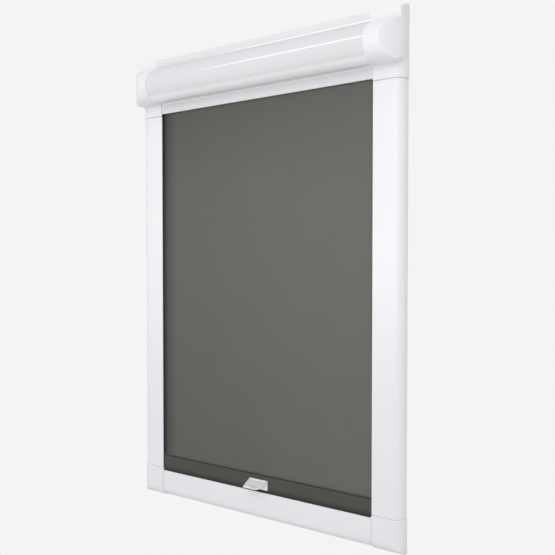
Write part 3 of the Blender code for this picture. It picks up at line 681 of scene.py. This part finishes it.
cap = solid("right_hood_end", cap_hood(0.0))
combine(cap, cap_body(0.0, side_top), "UNION")
combine(cap, gusset(open_top - gap, 1, 2.0 * MM - gap), "UNION")
combine(cap, cap_hood(moulded_wall), "DIFFERENCE")
combine(cap, cap_body(moulded_wall, side_top - MM), "DIFFERENCE")
combine(cap, block((open_x + leg_u[0], leg_y[0], side_top - leg_long),
                   (open_x + leg_u[1], leg_y[1], side_top + 6 * MM)), "UNION")
combine(cap, block((open_x + leg_u[0], front_y + 0.5 * MM, side_top),
                   (open_x + leg_u[1], leg_y[0] + MM, side_top + 6 * MM)), "UNION")
for start, top in ((open_x - 8 * MM, tongue_top), (open_x + 0.5 * MM, root_top)):
    combine(cap, block((start, tongue_y[0], tongue_low),
                       (open_x + 4 * MM, tongue_y[1], top)), "UNION")
for name in ("right_bracket_upper_screw", "right_bracket_lower_screw"):
    low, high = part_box(name)
    y, z = (low[1] + high[1]) / 2, (low[2] + high[2]) / 2
    post = arc((y, z), post_r, 0, 345, 23)
    bracket_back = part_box("right_roller_bracket")[1][0] + gap
    combine(cap, prism(post, along_x, bracket_back, open_x + cap_reach - MM), "UNION")
    hole = arc((y, z), pilot_r, 0, 337.5, 15)
    combine(cap, prism(hole, along_x, bracket_back - MM, bracket_back + 9 * MM), "DIFFERENCE")
soften(cap, 0.55 * MM, 6)
shade(cap.data, 60)
for side, piece in (("right", cap), ("left", mirrored_copy(cap, "left_hood_end"))):
    shade(piece.data, 60)
    piece.data.materials.clear()
    piece.data.materials.append(moulded_white)
    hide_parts(f"{side}_end_cap")
    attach(piece, "frame")

# ---- corner pieces ---------------------------------------------------------------------
# Moulded in the same plastic as the caps: the outsides of both rails meet in a soft mitre,
# and two hidden legs plug into the ends of the side rail and the bottom rail.
side_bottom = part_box("right_side_rail")[0][2] - gap
corner_rise = side_bottom - open_bottom
far = rail_face + proud
corner = solid("right_corner_moulding", overlap_of(
    prism(rail_outline(proud), rail_side(1), open_bottom - far, side_bottom),
    prism(rail_outline(proud, -corner_rise - MM), bottom_side, open_x - MM, open_x + far + MM)))
inner_far = rail_face - 0.6 * rail_round
combine(corner, block((open_x + moulded_wall, front_y + moulded_wall, open_bottom - inner_far),
                      (open_x + inner_far, MM, side_bottom - moulded_wall)), "DIFFERENCE")
combine(corner, block((open_x + leg_u[0], leg_y[0], side_bottom - 3 * MM),
                      (open_x + leg_u[1], leg_y[1], side_bottom + leg_long)), "UNION")
combine(corner, block((open_x - leg_long, leg_y[0], open_bottom - leg_u[1]),
                      (open_x + 3 * MM, leg_y[1], open_bottom - leg_u[0])), "UNION")
combine(corner, gusset(open_bottom + gap, -1, corner_rise - gap), "UNION")
soften(corner, 0.55 * MM, 5)
for side, piece in (("right", corner), ("left", mirrored_copy(corner, "left_corner_moulding"))):
    shade(piece.data, 60)
    piece.data.materials.clear()
    piece.data.materials.append(moulded_white)
    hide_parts(f"{side}_corner_piece")
    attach(piece, "frame")

# ---- pile strips and exit brush --------------------------------------------------------
# Woven tape with a short light-grey wool pile, slid into the slots of the rails and behind
# the head's band, where it wipes the fabric and shuts out the light.
pile_wool = Finish("grey wool pile", Roughness=0.95, Specular_IOR_Level=0.2)
clump = pile_wool.noise(1.4 * MM, 3.0)
strand = pile_wool.noise(0.25 * MM, 2.0, stretch=(1, 0.3, 1))
pile_wool.set(
    Base_Color=pile_wool.between(pile_wool.mask(clump * 0.6 + strand * 0.4, 0.3, 0.7),
                                 tint((0.50, 0.50, 0.48)), tint((0.66, 0.66, 0.64))),
    Normal=pile_wool.bump(strand, 0.03 * MM))


def pile_tree():
    """Scatters leaning tufts over the faces of a tape that look one way."""
    tree, given, result = tree_for("pile", ("Toward", "Vector"), ("Tufts per m2", "Float"),
                                   ("Tuft height", "Float"), ("Tuft radius", "Float"),
                                   ("Finish", "Material"))
    facing = add(tree, "ShaderNodeVectorMath", {"operation": "DOT_PRODUCT"},
                 _0=add(tree, "GeometryNodeInputNormal").outputs[0],
                 _1=given.outputs["Toward"])
    chosen = add(tree, "FunctionNodeCompare", {"operation": "GREATER_THAN"},
                 _0=facing.outputs["Value"], _1=0.9)
    spots = add(tree, "GeometryNodeDistributePointsOnFaces", Mesh=given.outputs[0],
                Selection=chosen.outputs[0], Density=given.outputs["Tufts per m2"], Seed=11)
    cone = add(tree, "GeometryNodeMeshCone", {"fill_type": "NGON"}, Vertices=4,
               Radius_Top=0.0, Radius_Bottom=given.outputs["Tuft radius"],
               Depth=given.outputs["Tuft height"])
    lean = add(tree, "FunctionNodeRandomValue", {"data_type": "FLOAT_VECTOR"},
               Min=(-0.35, -0.35, -3.1), Max=(0.35, 0.35, 3.1), Seed=12)
    turned_spots = add(tree, "FunctionNodeRotateRotation", {"rotation_space": "LOCAL"},
                       _0=spots.outputs["Rotation"], _1=lean.outputs[0])
    size = add(tree, "FunctionNodeRandomValue", {"data_type": "FLOAT"}, _2=0.7, _3=1.0, Seed=13)
    tufts = add(tree, "GeometryNodeInstanceOnPoints", Points=spots.outputs["Points"],
                Instance=cone.outputs["Mesh"], Rotation=turned_spots.outputs[0],
                Scale=size.outputs[1])
    joined = add(tree, "GeometryNodeJoinGeometry")
    tree.links.new(given.outputs[0], joined.inputs[0])
    tree.links.new(tufts.outputs[0], joined.inputs[0])
    real = add(tree, "GeometryNodeRealizeInstances", Geometry=joined.outputs[0])
    finished = add(tree, "GeometryNodeSetMaterial", Geometry=real.outputs[0],
                   Material=given.outputs["Finish"])
    tree.links.new(finished.outputs[0], result.inputs[0])
    return tree


tape_thick, tuft_radius = 0.14 * MM, 0.22 * MM
pile = pile_tree()
pile_groups = {
    "pile_facing_glass": (1, ("left_pile_front", "right_pile_front", "exit_brush")),
    "pile_facing_room": (-1, ("left_pile_back", "right_pile_back")),
}
for name, (toward, nodes) in pile_groups.items():
    tapes = bmesh.new()
    for node in nodes:
        low, high = Vector(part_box(node)[0]), Vector(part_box(node)[1])
        depth = high.y - low.y
        if toward > 0:
            high.y = low.y + tape_thick
        else:
            low.y = high.y - tape_thick
        scratch = bpy.data.meshes.new("tape")
        strip = block(low, high)
        bmesh.ops.recalc_face_normals(strip, faces=strip.faces)
        strip.to_mesh(scratch)
        strip.free()
        tapes.from_mesh(scratch)
    tape_mesh = bpy.data.meshes.new(name)
    tapes.to_mesh(tape_mesh)
    tapes.free()
    strips = grown(name, tape_mesh, pile, **{
        "Toward": (0.0, float(toward), 0.0), "Tufts per m2": 1.6e6,
        "Tuft height": depth - tape_thick - 0.02 * MM, "Tuft radius": tuft_radius,
        "Finish": pile_wool.material})
    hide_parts(*nodes)
    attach(strips, "frame")

# ---- screws ----------------------------------------------------------------------------
# Ten zinc-plated self-tapping pan heads with a cross recess: six hold the moulded legs in
# the rails, four hold the roller brackets to the end caps.


def metal_finish(name, colour, along, gloss, scratch_depth):
    """Bare or plated metal with fine drawn lines along one axis and uneven tarnish."""
    made = Finish(name, Metallic=1.0)
    stretch = [1.0, 1.0, 1.0]
    stretch[along] = 0.03
    lines = made.noise(0.22 * MM, 2.0, stretch=tuple(stretch))
    patches = made.noise(9 * MM, 4.0, rough=0.6)
    spots = made.mask(made.noise(1.3 * MM, 3.0, rough=0.7), 0.58, 0.75)
    made.set(Base_Color=made.between(made.mask(patches, 0.3, 0.7) * 0.6 + spots * 0.25,
                                     tint(colour), tint(colour, 0.80)),
             Roughness=gloss + (lines - 0.5) * 0.16 + spots * 0.12,
             Normal=made.bump(lines, scratch_depth))
    return made.material


zinc = metal_finish("zinc-plated steel", (0.60, 0.60, 0.585), 2, 0.36, 0.006 * MM)
screw_r, head_r, head_t, thread_pitch = 1.1 * MM, 2.0 * MM, 1.3 * MM, 0.8 * MM


def screw_template(length):
    """A pan-head screw along local +Z, point away from the head, with a helical thread."""
    shape, sides, per_pitch = bmesh.new(), 16, 6
    head = [(-1, 0.0), (-1, 0.55), (-0.88, 0.80), (-0.6, 0.95), (-0.25, 1.0), (0.0, 1.0)]
    stations = [(z * head_t, r * head_r, False) for z, r in head]
    count = int(length / thread_pitch * per_pitch)
    for i in range(count + 1):
        z = length * i / count
        stations.append((z, screw_r * min(1.0, (length - z) / (1.4 * MM) + 0.12), True))
    rings = []
    for z, radius, threaded in stations:
        ring = []
        for k in range(sides):
            cut = abs((z / thread_pitch - k / sides) % 1.0 - 0.5) * 0.32 if threaded else 0.0
            angle = 2 * math.pi * k / sides
            reach = radius * (1 - cut)
            ring.append(shape.verts.new((reach * math.cos(angle), reach * math.sin(angle), z)))
        rings.append(ring)
    for first, second in zip(rings, rings[1:]):
        for k in range(sides):
            n = (k + 1) % sides
            shape.faces.new((first[k], first[n], second[n], second[k]))
    shape.faces.new(rings[-1])
    made = solid("screw", shape)
    arm, half = 1.15 * MM, 0.26 * MM
    cross = [(arm, -half), (arm, half), (half, half), (half, arm), (-half, arm), (-half, half),
             (-arm, half), (-arm, -half), (-half, -half), (-half, -arm), (half, -arm),
             (half, -half)]
    return combine(made, prism(cross, along_z, -2 * head_t, -0.45 * head_t), "DIFFERENCE")


def screw_tree():
    """Stands a screw on every point, its local Z turned to the point's own direction."""
    tree, given, result = tree_for("screws", ("Screw", "Object"), ("Finish", "Material"))
    source = add(tree, "GeometryNodeObjectInfo", Object=given.outputs["Screw"])
    aim = add(tree, "GeometryNodeInputNamedAttribute", {"data_type": "FLOAT_VECTOR"}, Name="aim")
    turn = add(tree, "FunctionNodeAlignRotationToVector", {"axis": "Z"},
               Vector=aim.outputs[0])
    placed = add(tree, "GeometryNodeInstanceOnPoints", Points=given.outputs[0],
                 Instance=source.outputs["Geometry"], Rotation=turn.outputs[0])
    real = add(tree, "GeometryNodeRealizeInstances", Geometry=placed.outputs[0])
    finished = add(tree, "GeometryNodeSetMaterial", Geometry=real.outputs[0],
                   Material=given.outputs["Finish"])
    tree.links.new(finished.outputs[0], result.inputs[0])
    return tree


drive = screw_tree()
screw_groups = {"rail_screws": (6.0 * MM, []), "bracket_screws": (9.0 * MM, [])}
for side, sign in (("left", -1), ("right", 1)):
    for place in ("cap_leg", "corner_side"):
        screw_groups["rail_screws"][1].append((f"{side}_{place}_screw", Vector((sign, 0, 0))))
    screw_groups["rail_screws"][1].append((f"{side}_corner_bottom_screw", Vector((0, 0, -1))))
    for place in ("upper", "lower"):
        screw_groups["bracket_screws"][1].append((f"{side}_bracket_{place}_screw",
                                                  Vector((sign, 0, 0))))
for name, (length, screws) in screw_groups.items():
    template = screw_template(length)
    seats = []
    for node, aim in screws:
        low, high = Vector(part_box(node)[0]), Vector(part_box(node)[1])
        seat = (low + high) / 2
        seats.append(seat - aim * ((length + head_t) / 2 - head_t))
    points = bpy.data.meshes.new(name)
    points.from_pydata(seats, [], [])
    aims = points.attributes.new("aim", "FLOAT_VECTOR", "POINT")
    aims.data.foreach_set("vector", [v for _, aim in screws for v in aim])
    piece = grown(name, points, drive, Screw=template, Finish=zinc)
    bpy.data.objects.remove(template)
    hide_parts(*[node for node, _ in screws])
    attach(piece, "frame")

# ---- roller brackets, window clips and shaft fittings -----------------------------------
# Pressed steel plates on the caps carry the roller; sprung steel clips in the rails' rear
# recess grip the window bead.  The frame's own plates, shaft and collar carry the finish.
refinish(zinc, "left_roller_bracket", "right_roller_bracket", "left_upper_window_clip",
         "left_lower_window_clip", "right_upper_window_clip", "right_lower_window_clip")
turned_steel = metal_finish("turned plated shaft", (0.57, 0.57, 0.56), 1, 0.32, 0.004 * MM)
refinish(turned_steel, "spring_shaft", "shaft_collar")

# ---- roller: tube, plugs, bush and spring -----------------------------------------------
# A drawn aluminium tube turns on two nylon end plugs; a torsion spring wound from black
# wire sits round the fixed shaft inside it and takes the fabric up.
tube_metal = metal_finish("drawn tube", (0.64, 0.65, 0.66), 0, 0.36, 0.008 * MM)
refinish(tube_metal, "roller_tube")

nylon = Finish("natural nylon", IOR=1.53, Specular_IOR_Level=0.45)
cloudy = nylon.noise(7 * MM, 3.0)
sheen = nylon.noise(0.5 * MM, 3.0, rough=0.6)
rubbed = nylon.mask(nylon.noise(2.2 * MM, 4.0, stretch=(0.2, 1, 1)), 0.50, 0.72)
nylon.set(Base_Color=nylon.between(nylon.mask(cloudy, 0.3, 0.7) * 0.7 + rubbed * 0.2,
                                   tint((0.80, 0.80, 0.755)), tint((0.72, 0.715, 0.665))),
          Roughness=0.46 + (sheen - 0.5) * 0.14 - rubbed * 0.10,
          Normal=nylon.bump(sheen, 0.008 * MM))
refinish(nylon.material, "idle_plug", "spring_plug", "idle_bush")


def coil_tree():
    """Winds a round wire along +X about an axis."""
    tree, given, result = tree_for("coil", ("Start", "Vector"), ("Turns", "Float"),
                                   ("Radius", "Float"), ("Length", "Float"),
                                   ("Wire", "Float"), ("Finish", "Material"))
    spiral = add(tree, "GeometryNodeCurveSpiral", Resolution=28, Rotations=given.outputs["Turns"],
                 Start_Radius=given.outputs["Radius"], End_Radius=given.outputs["Radius"],
                 Height=given.outputs["Length"])
    laid = add(tree, "GeometryNodeTransform", Geometry=spiral.outputs[0],
               Translation=given.outputs["Start"], Rotation=(0.0, math.pi / 2, 0.0))
    profile = add(tree, "GeometryNodeCurvePrimitiveCircle", Resolution=10,
                  Radius=given.outputs["Wire"])
    swept = add(tree, "GeometryNodeCurveToMesh", Curve=laid.outputs[0],
                Profile_Curve=profile.outputs[0], Fill_Caps=True)
    real = add(tree, "GeometryNodeRealizeInstances", Geometry=swept.outputs[0])
    finished = add(tree, "GeometryNodeSetMaterial", Geometry=real.outputs[0],
                   Material=given.outputs["Finish"])
    tree.links.new(finished.outputs[0], result.inputs[0])
    return tree


spring_wire = metal_finish("oiled spring wire", (0.26, 0.26, 0.27), 1, 0.34, 0.004 * MM)
low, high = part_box("torsion_spring")
wire = 0.45 * MM
spring = grown("wound_spring", bpy.data.meshes.new("wound_spring"), coil_tree(), **{
    "Start": (low[0] + wire, roller_y, 0.0), "Turns": 22.0, "Radius": 5.6 * MM,
    "Length": high[0] - low[0] - 2 * wire, "Wire": wire, "Finish": spring_wire})
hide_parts("torsion_spring")
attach(spring, "frame")

# ---- fabric on the roller and hanging ---------------------------------------------------
# Coated polyester blackout cloth in a greenish dark grey, plain weave.  What is left on
# the tube is wound in a spiral; the rest hangs flat from the roll's back into the slots.


def cloth_finish(name, warp, weft, thread):
    """Plain weave on X and Z: over-and-under threads, slubs and a dry coated sheen."""
    made = Finish(name, Specular_IOR_Level=0.22)
    made.x = made.node("SeparateXYZ", Vector=made.here, out="X")
    made.z = made.node("SeparateXYZ", Vector=made.here, out="Z")
    turns = math.pi / thread
    over = made.maths_of("SINE", made.x * turns)
    up = made.maths_of("SINE", made.z * turns)
    weave = over * up
    made.slub = made.noise(2.4 * MM, 3.0, stretch=(0.12, 1, 1))
    made.slub_up = made.noise(2.4 * MM, 3.0, stretch=(1, 1, 0.12))
    made.patch = made.noise(48 * MM, 3.0)
    mix = made.mask(weave * 0.5 + 0.5, 0.15, 0.85)
    made.colour = made.between(mix, tint(warp), tint(weft))
    made.height = weave * 0.5 + (made.slub + made.slub_up) * 0.35
    made.set(Normal=made.bump(made.height, 0.05 * MM),
             Roughness=0.86 + (made.slub - 0.5) * 0.12)
    return made


cloth_colour = (0.133, 0.136, 0.122)
cloth = cloth_finish("dark grey blackout cloth", tint(cloth_colour, 1.05)[:3],
                     tint(cloth_colour, 0.95)[:3], 0.42 * MM)
# Painted shade: the cloth darkens towards the left rail, under the head, towards the hem
# and gently from right to left.
edge_left = cloth.mask(cloth.x, -open_x + 0.5 * MM, -open_x + 23 * MM)
edge_near = cloth.mask(cloth.x, -open_x + 1 * MM, -open_x + 7 * MM)
across = cloth.mask(cloth.x, -open_x, open_x * 1.1)
lowest = cloth.mask(cloth.z, open_bottom + 19 * MM, open_bottom + 68 * MM)
upper = cloth.mask(cloth.z, open_top - 119 * MM, open_top - 5 * MM)
shadow = ((1.0 - edge_left) * 0.38 + (1.0 - edge_near) * 0.27 + (1.0 - across) * 0.13
          + (1.0 - lowest) * 0.02 + upper * 0.12)
mottle = (cloth.patch - 0.5) * 0.06 + (cloth.slub + cloth.slub_up - 1.0) * 0.05
cloth.set(Base_Color=cloth.between(shadow + mottle, cloth.colour, tint(cloth_colour, 0.12)))

turns, first_wrap, cloth_step, cloth_thick = 2.1, 9.48 * MM, 0.40 * MM, 0.36 * MM
wound = []
for i in range(int(72 * turns) + 1):
    share = i / int(72 * turns)
    angle = 2 * math.pi * turns * (1 - share)
    wound.append((angle, first_wrap + cloth_step * turns * share))
spiral = [(roller_y + (r + cloth_thick / 2) * math.cos(a), (r + cloth_thick / 2) * math.sin(a))
          for a, r in wound]
spiral += [(roller_y + (r - cloth_thick / 2) * math.cos(a), (r - cloth_thick / 2) * math.sin(a))
           for a, r in reversed(wound)]
low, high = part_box("fabric_roll")
roll = extrusion("wound_cloth", spiral, along_x, low[0], high[0], cloth.material)
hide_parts("fabric_roll")
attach(roll, "roller")

low, high = Vector(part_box("blind_fabric")[0]), Vector(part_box("blind_fabric")[1])
cloth_y, cloth_low = (low.y + high.y) / 2, low.z - 0.4 * MM
columns, rows = 96, 150
hanging = bmesh.new()
rng = np.random.default_rng(7)
waves = [(rng.uniform(8, 26), rng.uniform(-3, 3), rng.uniform(0, 6.28)) for _ in range(5)]
grid = []
for side in (-1, 1):
    layer = []
    for j in range(rows + 1):
        z = high.z + (cloth_low - high.z) * j / rows
        row = []
        for i in range(columns + 1):
            x = low.x + (high.x - low.x) * i / columns
            calm = math.sin(math.pi * i / columns) ** 0.5 * math.sin(math.pi * j / rows) ** 0.5
            ripple = sum(math.sin(a * x * 3 + b * z * 3 + c) for a, b, c in waves) * 0.06 * MM
            y = cloth_y + calm * ripple + side * cloth_thick / 2
            row.append(hanging.verts.new((x, y, z)))
        layer.append(row)
    grid.append(layer)
for side, layer in enumerate(grid):
    for j in range(rows):
        for i in range(columns):
            corners = (layer[j][i], layer[j + 1][i], layer[j + 1][i + 1], layer[j][i + 1])
            hanging.faces.new(corners if side == 0 else corners[::-1])
border = [(j, 0) for j in range(rows)] + [(rows, i) for i in range(columns)]
border += [(j, columns) for j in range(rows, 0, -1)] + [(0, i) for i in range(columns, 0, -1)]
for (j, i), (m, n) in zip(border, border[1:] + border[:1]):
    hanging.faces.new((grid[0][j][i], grid[1][j][i], grid[1][m][n], grid[0][m][n]))
hung = solid("hanging_cloth", hanging)
shade(hung.data)
hung.data.materials.append(cloth.material)
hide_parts("blind_fabric")
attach(hung, "bar")
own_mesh(hung)

# ---- bottom bar and hem ----------------------------------------------------------------
# A flat mill-finish aluminium bar in a pocket of the same cloth, welded along its top, so
# the pocket is two layers thick; its darker colour is partly the doubled cloth, partly painted
# shade.
bar_metal = metal_finish("mill-finish aluminium", (0.72, 0.73, 0.74), 0, 0.38, 0.006 * MM)
low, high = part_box("bottom_bar")
bar_outline = eased([(low[1], low[2]), (high[1], low[2]), (high[1], high[2]), (low[1], high[2])],
                    0.5 * MM, steps=4)
bar = extrusion("flat_bar", bar_outline, along_x, low[0], high[0], bar_metal)
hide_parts("bottom_bar")
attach(bar, "bar")

felt = Finish("black brake felt", Roughness=0.96, Specular_IOR_Level=0.15)
hairs = felt.noise(0.35 * MM, 4.0, rough=0.7)
felt.set(Base_Color=felt.between(felt.mask(hairs, 0.35, 0.7), tint((0.055, 0.055, 0.055)),
                                 tint((0.13, 0.13, 0.13))),
         Normal=felt.bump(hairs, 0.08 * MM))
black_nylon = Finish("black sliding nylon", IOR=1.53, Specular_IOR_Level=0.4)
drag = black_nylon.noise(0.4 * MM, 3.0, stretch=(1, 1, 0.1))
black_nylon.set(Base_Color=black_nylon.between(drag, tint((0.030, 0.030, 0.031)),
                                               tint((0.060, 0.060, 0.060))),
                Roughness=0.42 + (drag - 0.5) * 0.2,
                Normal=black_nylon.bump(drag, 0.01 * MM))
refinish(black_nylon.material, "left_bar_guide", "right_bar_guide")
refinish(felt.material, "left_brake_felt", "right_brake_felt")

# The hem's darker colour: partly the doubled cloth, partly painted shade.
hem_colour = (0.078, 0.080, 0.070)
hem_cloth = cloth_finish("doubled hem cloth", tint(hem_colour, 1.05)[:3],
                         tint(hem_colour, 0.95)[:3], 0.42 * MM)
low, high = Vector(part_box("hem_sleeve")[0]), Vector(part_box("hem_sleeve")[1])
hem_reach = 1.9 * MM                            # the cloth goes past the bar's ends
low.x, high.x = low.x - hem_reach, high.x + hem_reach
weld_top = high[2]
# Painted shadow in a dark line just under the weld's top, which the bump also cuts in as a
# groove; a painted highlight (lit_edge) on the top edge above it; and painted shade darkening the
# hem towards its bottom.
weld_groove_and_shadow = (hem_cloth.mask(hem_cloth.z, weld_top - 2.4 * MM, weld_top - 1.8 * MM)
             - hem_cloth.mask(hem_cloth.z, weld_top - 1.0 * MM, weld_top - 0.7 * MM))
lit_edge = hem_cloth.mask(hem_cloth.z, weld_top - 0.9 * MM, weld_top - 0.5 * MM)
hem_low_shade = 1.0 - hem_cloth.mask(hem_cloth.z, weld_top - 21 * MM, weld_top - 12 * MM)
dim = (weld_groove_and_shadow * 0.75 + hem_low_shade * 0.62 + (hem_cloth.patch - 0.5) * 0.08
       + (hem_cloth.slub + hem_cloth.slub_up - 1.0) * 0.05)
shaded = hem_cloth.between(dim, hem_cloth.colour, tint(hem_colour, 0.15))
hem_cloth.set(Base_Color=hem_cloth.between(lit_edge * 0.5, shaded, tint(cloth_colour)),
              Normal=hem_cloth.bump(hem_cloth.height - weld_groove_and_shadow * 2.0, 0.06 * MM))
thin = 0.3 * MM
corners = [(low[1], high[2]), (low[1], low[2]), (high[1], low[2]), (high[1], high[2])]
outside = [Vector(p) for p in eased(corners, 1.25 * MM, steps=6)]
middle = Vector(((low[1] + high[1]) / 2, (low[2] + high[2]) / 2))
half_y, half_z = (high[1] - low[1]) / 2, (high[2] - low[2]) / 2
inside = [middle + Vector(((p.x - middle.x) * (half_y - thin) / half_y,
                           (p.y - middle.y) * (half_z - thin) / half_z)) for p in outside]
pocket = bmesh.new()
cuts = 60
loops = []
for ring in (outside, inside):
    loops.append([[pocket.verts.new((low[0] + (high[0] - low[0]) * i / cuts, p.x, p.y))
                   for p in ring] for i in range(cuts + 1)])
around = len(outside)
for ring_set in loops:
    for i in range(cuts):
        for k in range(around):
            n = (k + 1) % around
            pocket.faces.new((ring_set[i][k], ring_set[i][n], ring_set[i + 1][n],
                              ring_set[i + 1][k]))
for end in (0, cuts):
    for k in range(around):
        n = (k + 1) % around
        pocket.faces.new((loops[0][end][k], loops[0][end][n], loops[1][end][n],
                          loops[1][end][k]))
hem = solid("hem_pocket", pocket)
shade(hem.data, 50)
hem.data.materials.append(hem_cloth.material)
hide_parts("hem_sleeve")
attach(hem, "bar")

# ---- pull tab --------------------------------------------------------------------------
# One small glossy off-white moulding clipped over the bar: a flat plate, and a scooped
# lip with a round plan and a thick rim for a fingertip.
tab_plastic = Finish("off-white glossy plastic", Specular_IOR_Level=0.5)
tab_cloud = tab_plastic.noise(4 * MM, 2.0)
tab_skin = tab_plastic.noise(0.3 * MM, 2.0)
rubs = tab_plastic.mask(tab_plastic.noise(0.9 * MM, 4.0, stretch=(0.3, 1, 1)), 0.55, 0.75)
tab_plastic.set(
    Base_Color=tab_plastic.between(tab_cloud * 0.5 + rubs * 0.3, tint((0.86, 0.86, 0.845)),
                                   tint((0.72, 0.72, 0.695))),
    Roughness=0.24 + (tab_skin - 0.5) * 0.08 + rubs * 0.10,
    Normal=tab_plastic.bump(tab_skin, 0.004 * MM))
low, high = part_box("pull_tab")
tab_x, tab_half = (low[0] + high[0]) / 2, (high[0] - low[0]) / 2
tab_back, tab_front, tab_top, tab_low = high[1], low[1], high[2], low[2]
plate_thick, lip_thick, bead, scoop = 1.7 * MM, 1.3 * MM, 1.1 * MM, 8.0 * MM


def lip_drop(along):
    """How far the lip's upper face lies below the plate's top, along its reach."""
    return 0.5 * MM + scoop * max(0.0, along) ** 1.4 * (1 - min(1.0, along) ** 4.5)


reach = tab_back - tab_front
face_line = [(tab_back - 0.8 * MM - (reach - 1.0 * MM) * i / 24,
              tab_top - 0.6 * MM - lip_drop(i / 24)) for i in range(25)]
lip_section = face_line + [(y, z - lip_thick) for y, z in reversed(face_line)]
plan = [(tab_x - tab_half + 0.3 * MM, tab_back - 0.4 * MM),
        (tab_x + tab_half - 0.3 * MM, tab_back - 0.4 * MM)]
rim = []
for i in range(41):
    angle = math.pi * i / 40
    power = 1.3 if i < 20 else 0.5
    across = (tab_half - 0.3 * MM) * math.copysign(abs(math.cos(angle)) ** power, 20.1 - i)
    forward = 3 * MM + (reach - 3.4 * MM) * abs(math.sin(angle)) ** power
    plan.append((tab_x + across, tab_back - forward))
    inset = Vector((across * (1 - bead / tab_half), forward - bead * math.sin(angle)))
    along = inset.y / reach
    rim.append(Vector((tab_x + inset.x, tab_back - inset.y,
                       tab_top - lip_drop(along) - 0.75 * MM)))
tab = solid("finger_tab", overlap_of(
    prism(lip_section, along_x, tab_x - tab_half, tab_x + tab_half),
    prism(plan, along_z, tab_low - 5 * MM, tab_top)))
combine(tab, prism(eased([(tab_x - tab_half, tab_low), (tab_x + tab_half, tab_low),
                          (tab_x + tab_half, tab_top), (tab_x - tab_half, tab_top)],
                         0.9 * MM, steps=4), along_y, tab_back - plate_thick, tab_back), "UNION")
into_plate = Vector((0, 2.5 * MM, 0.2 * MM))
path = [rim[0] + into_plate] + rim + [rim[-1] + into_plate]
tube = bmesh.new()
rings = []
for i, point in enumerate(path):
    ahead = (path[min(i + 1, len(path) - 1)] - path[max(i - 1, 0)]).normalized()
    side_way = ahead.cross(Vector((0, 0, 1))).normalized()
    up_way = side_way.cross(ahead)
    rings.append([tube.verts.new(point + bead * (side_way * math.cos(a) + up_way * math.sin(a)))
                  for a in (2 * math.pi * k / 14 for k in range(14))])
for first, second in zip(rings, rings[1:]):
    for k in range(14):
        n = (k + 1) % 14
        tube.faces.new((first[k], first[n], second[n], second[k]))
tube.faces.new(rings[0])
tube.faces.new(rings[-1])
bmesh.ops.recalc_face_normals(tube, faces=tube.faces)
combine(tab, tube, "UNION")
soften(tab, 0.28 * MM, 5)
shade(tab.data, 70)
tab.data.materials.clear()
tab.data.materials.append(tab_plastic.material)
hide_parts("pull_tab")
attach(tab, "bar")
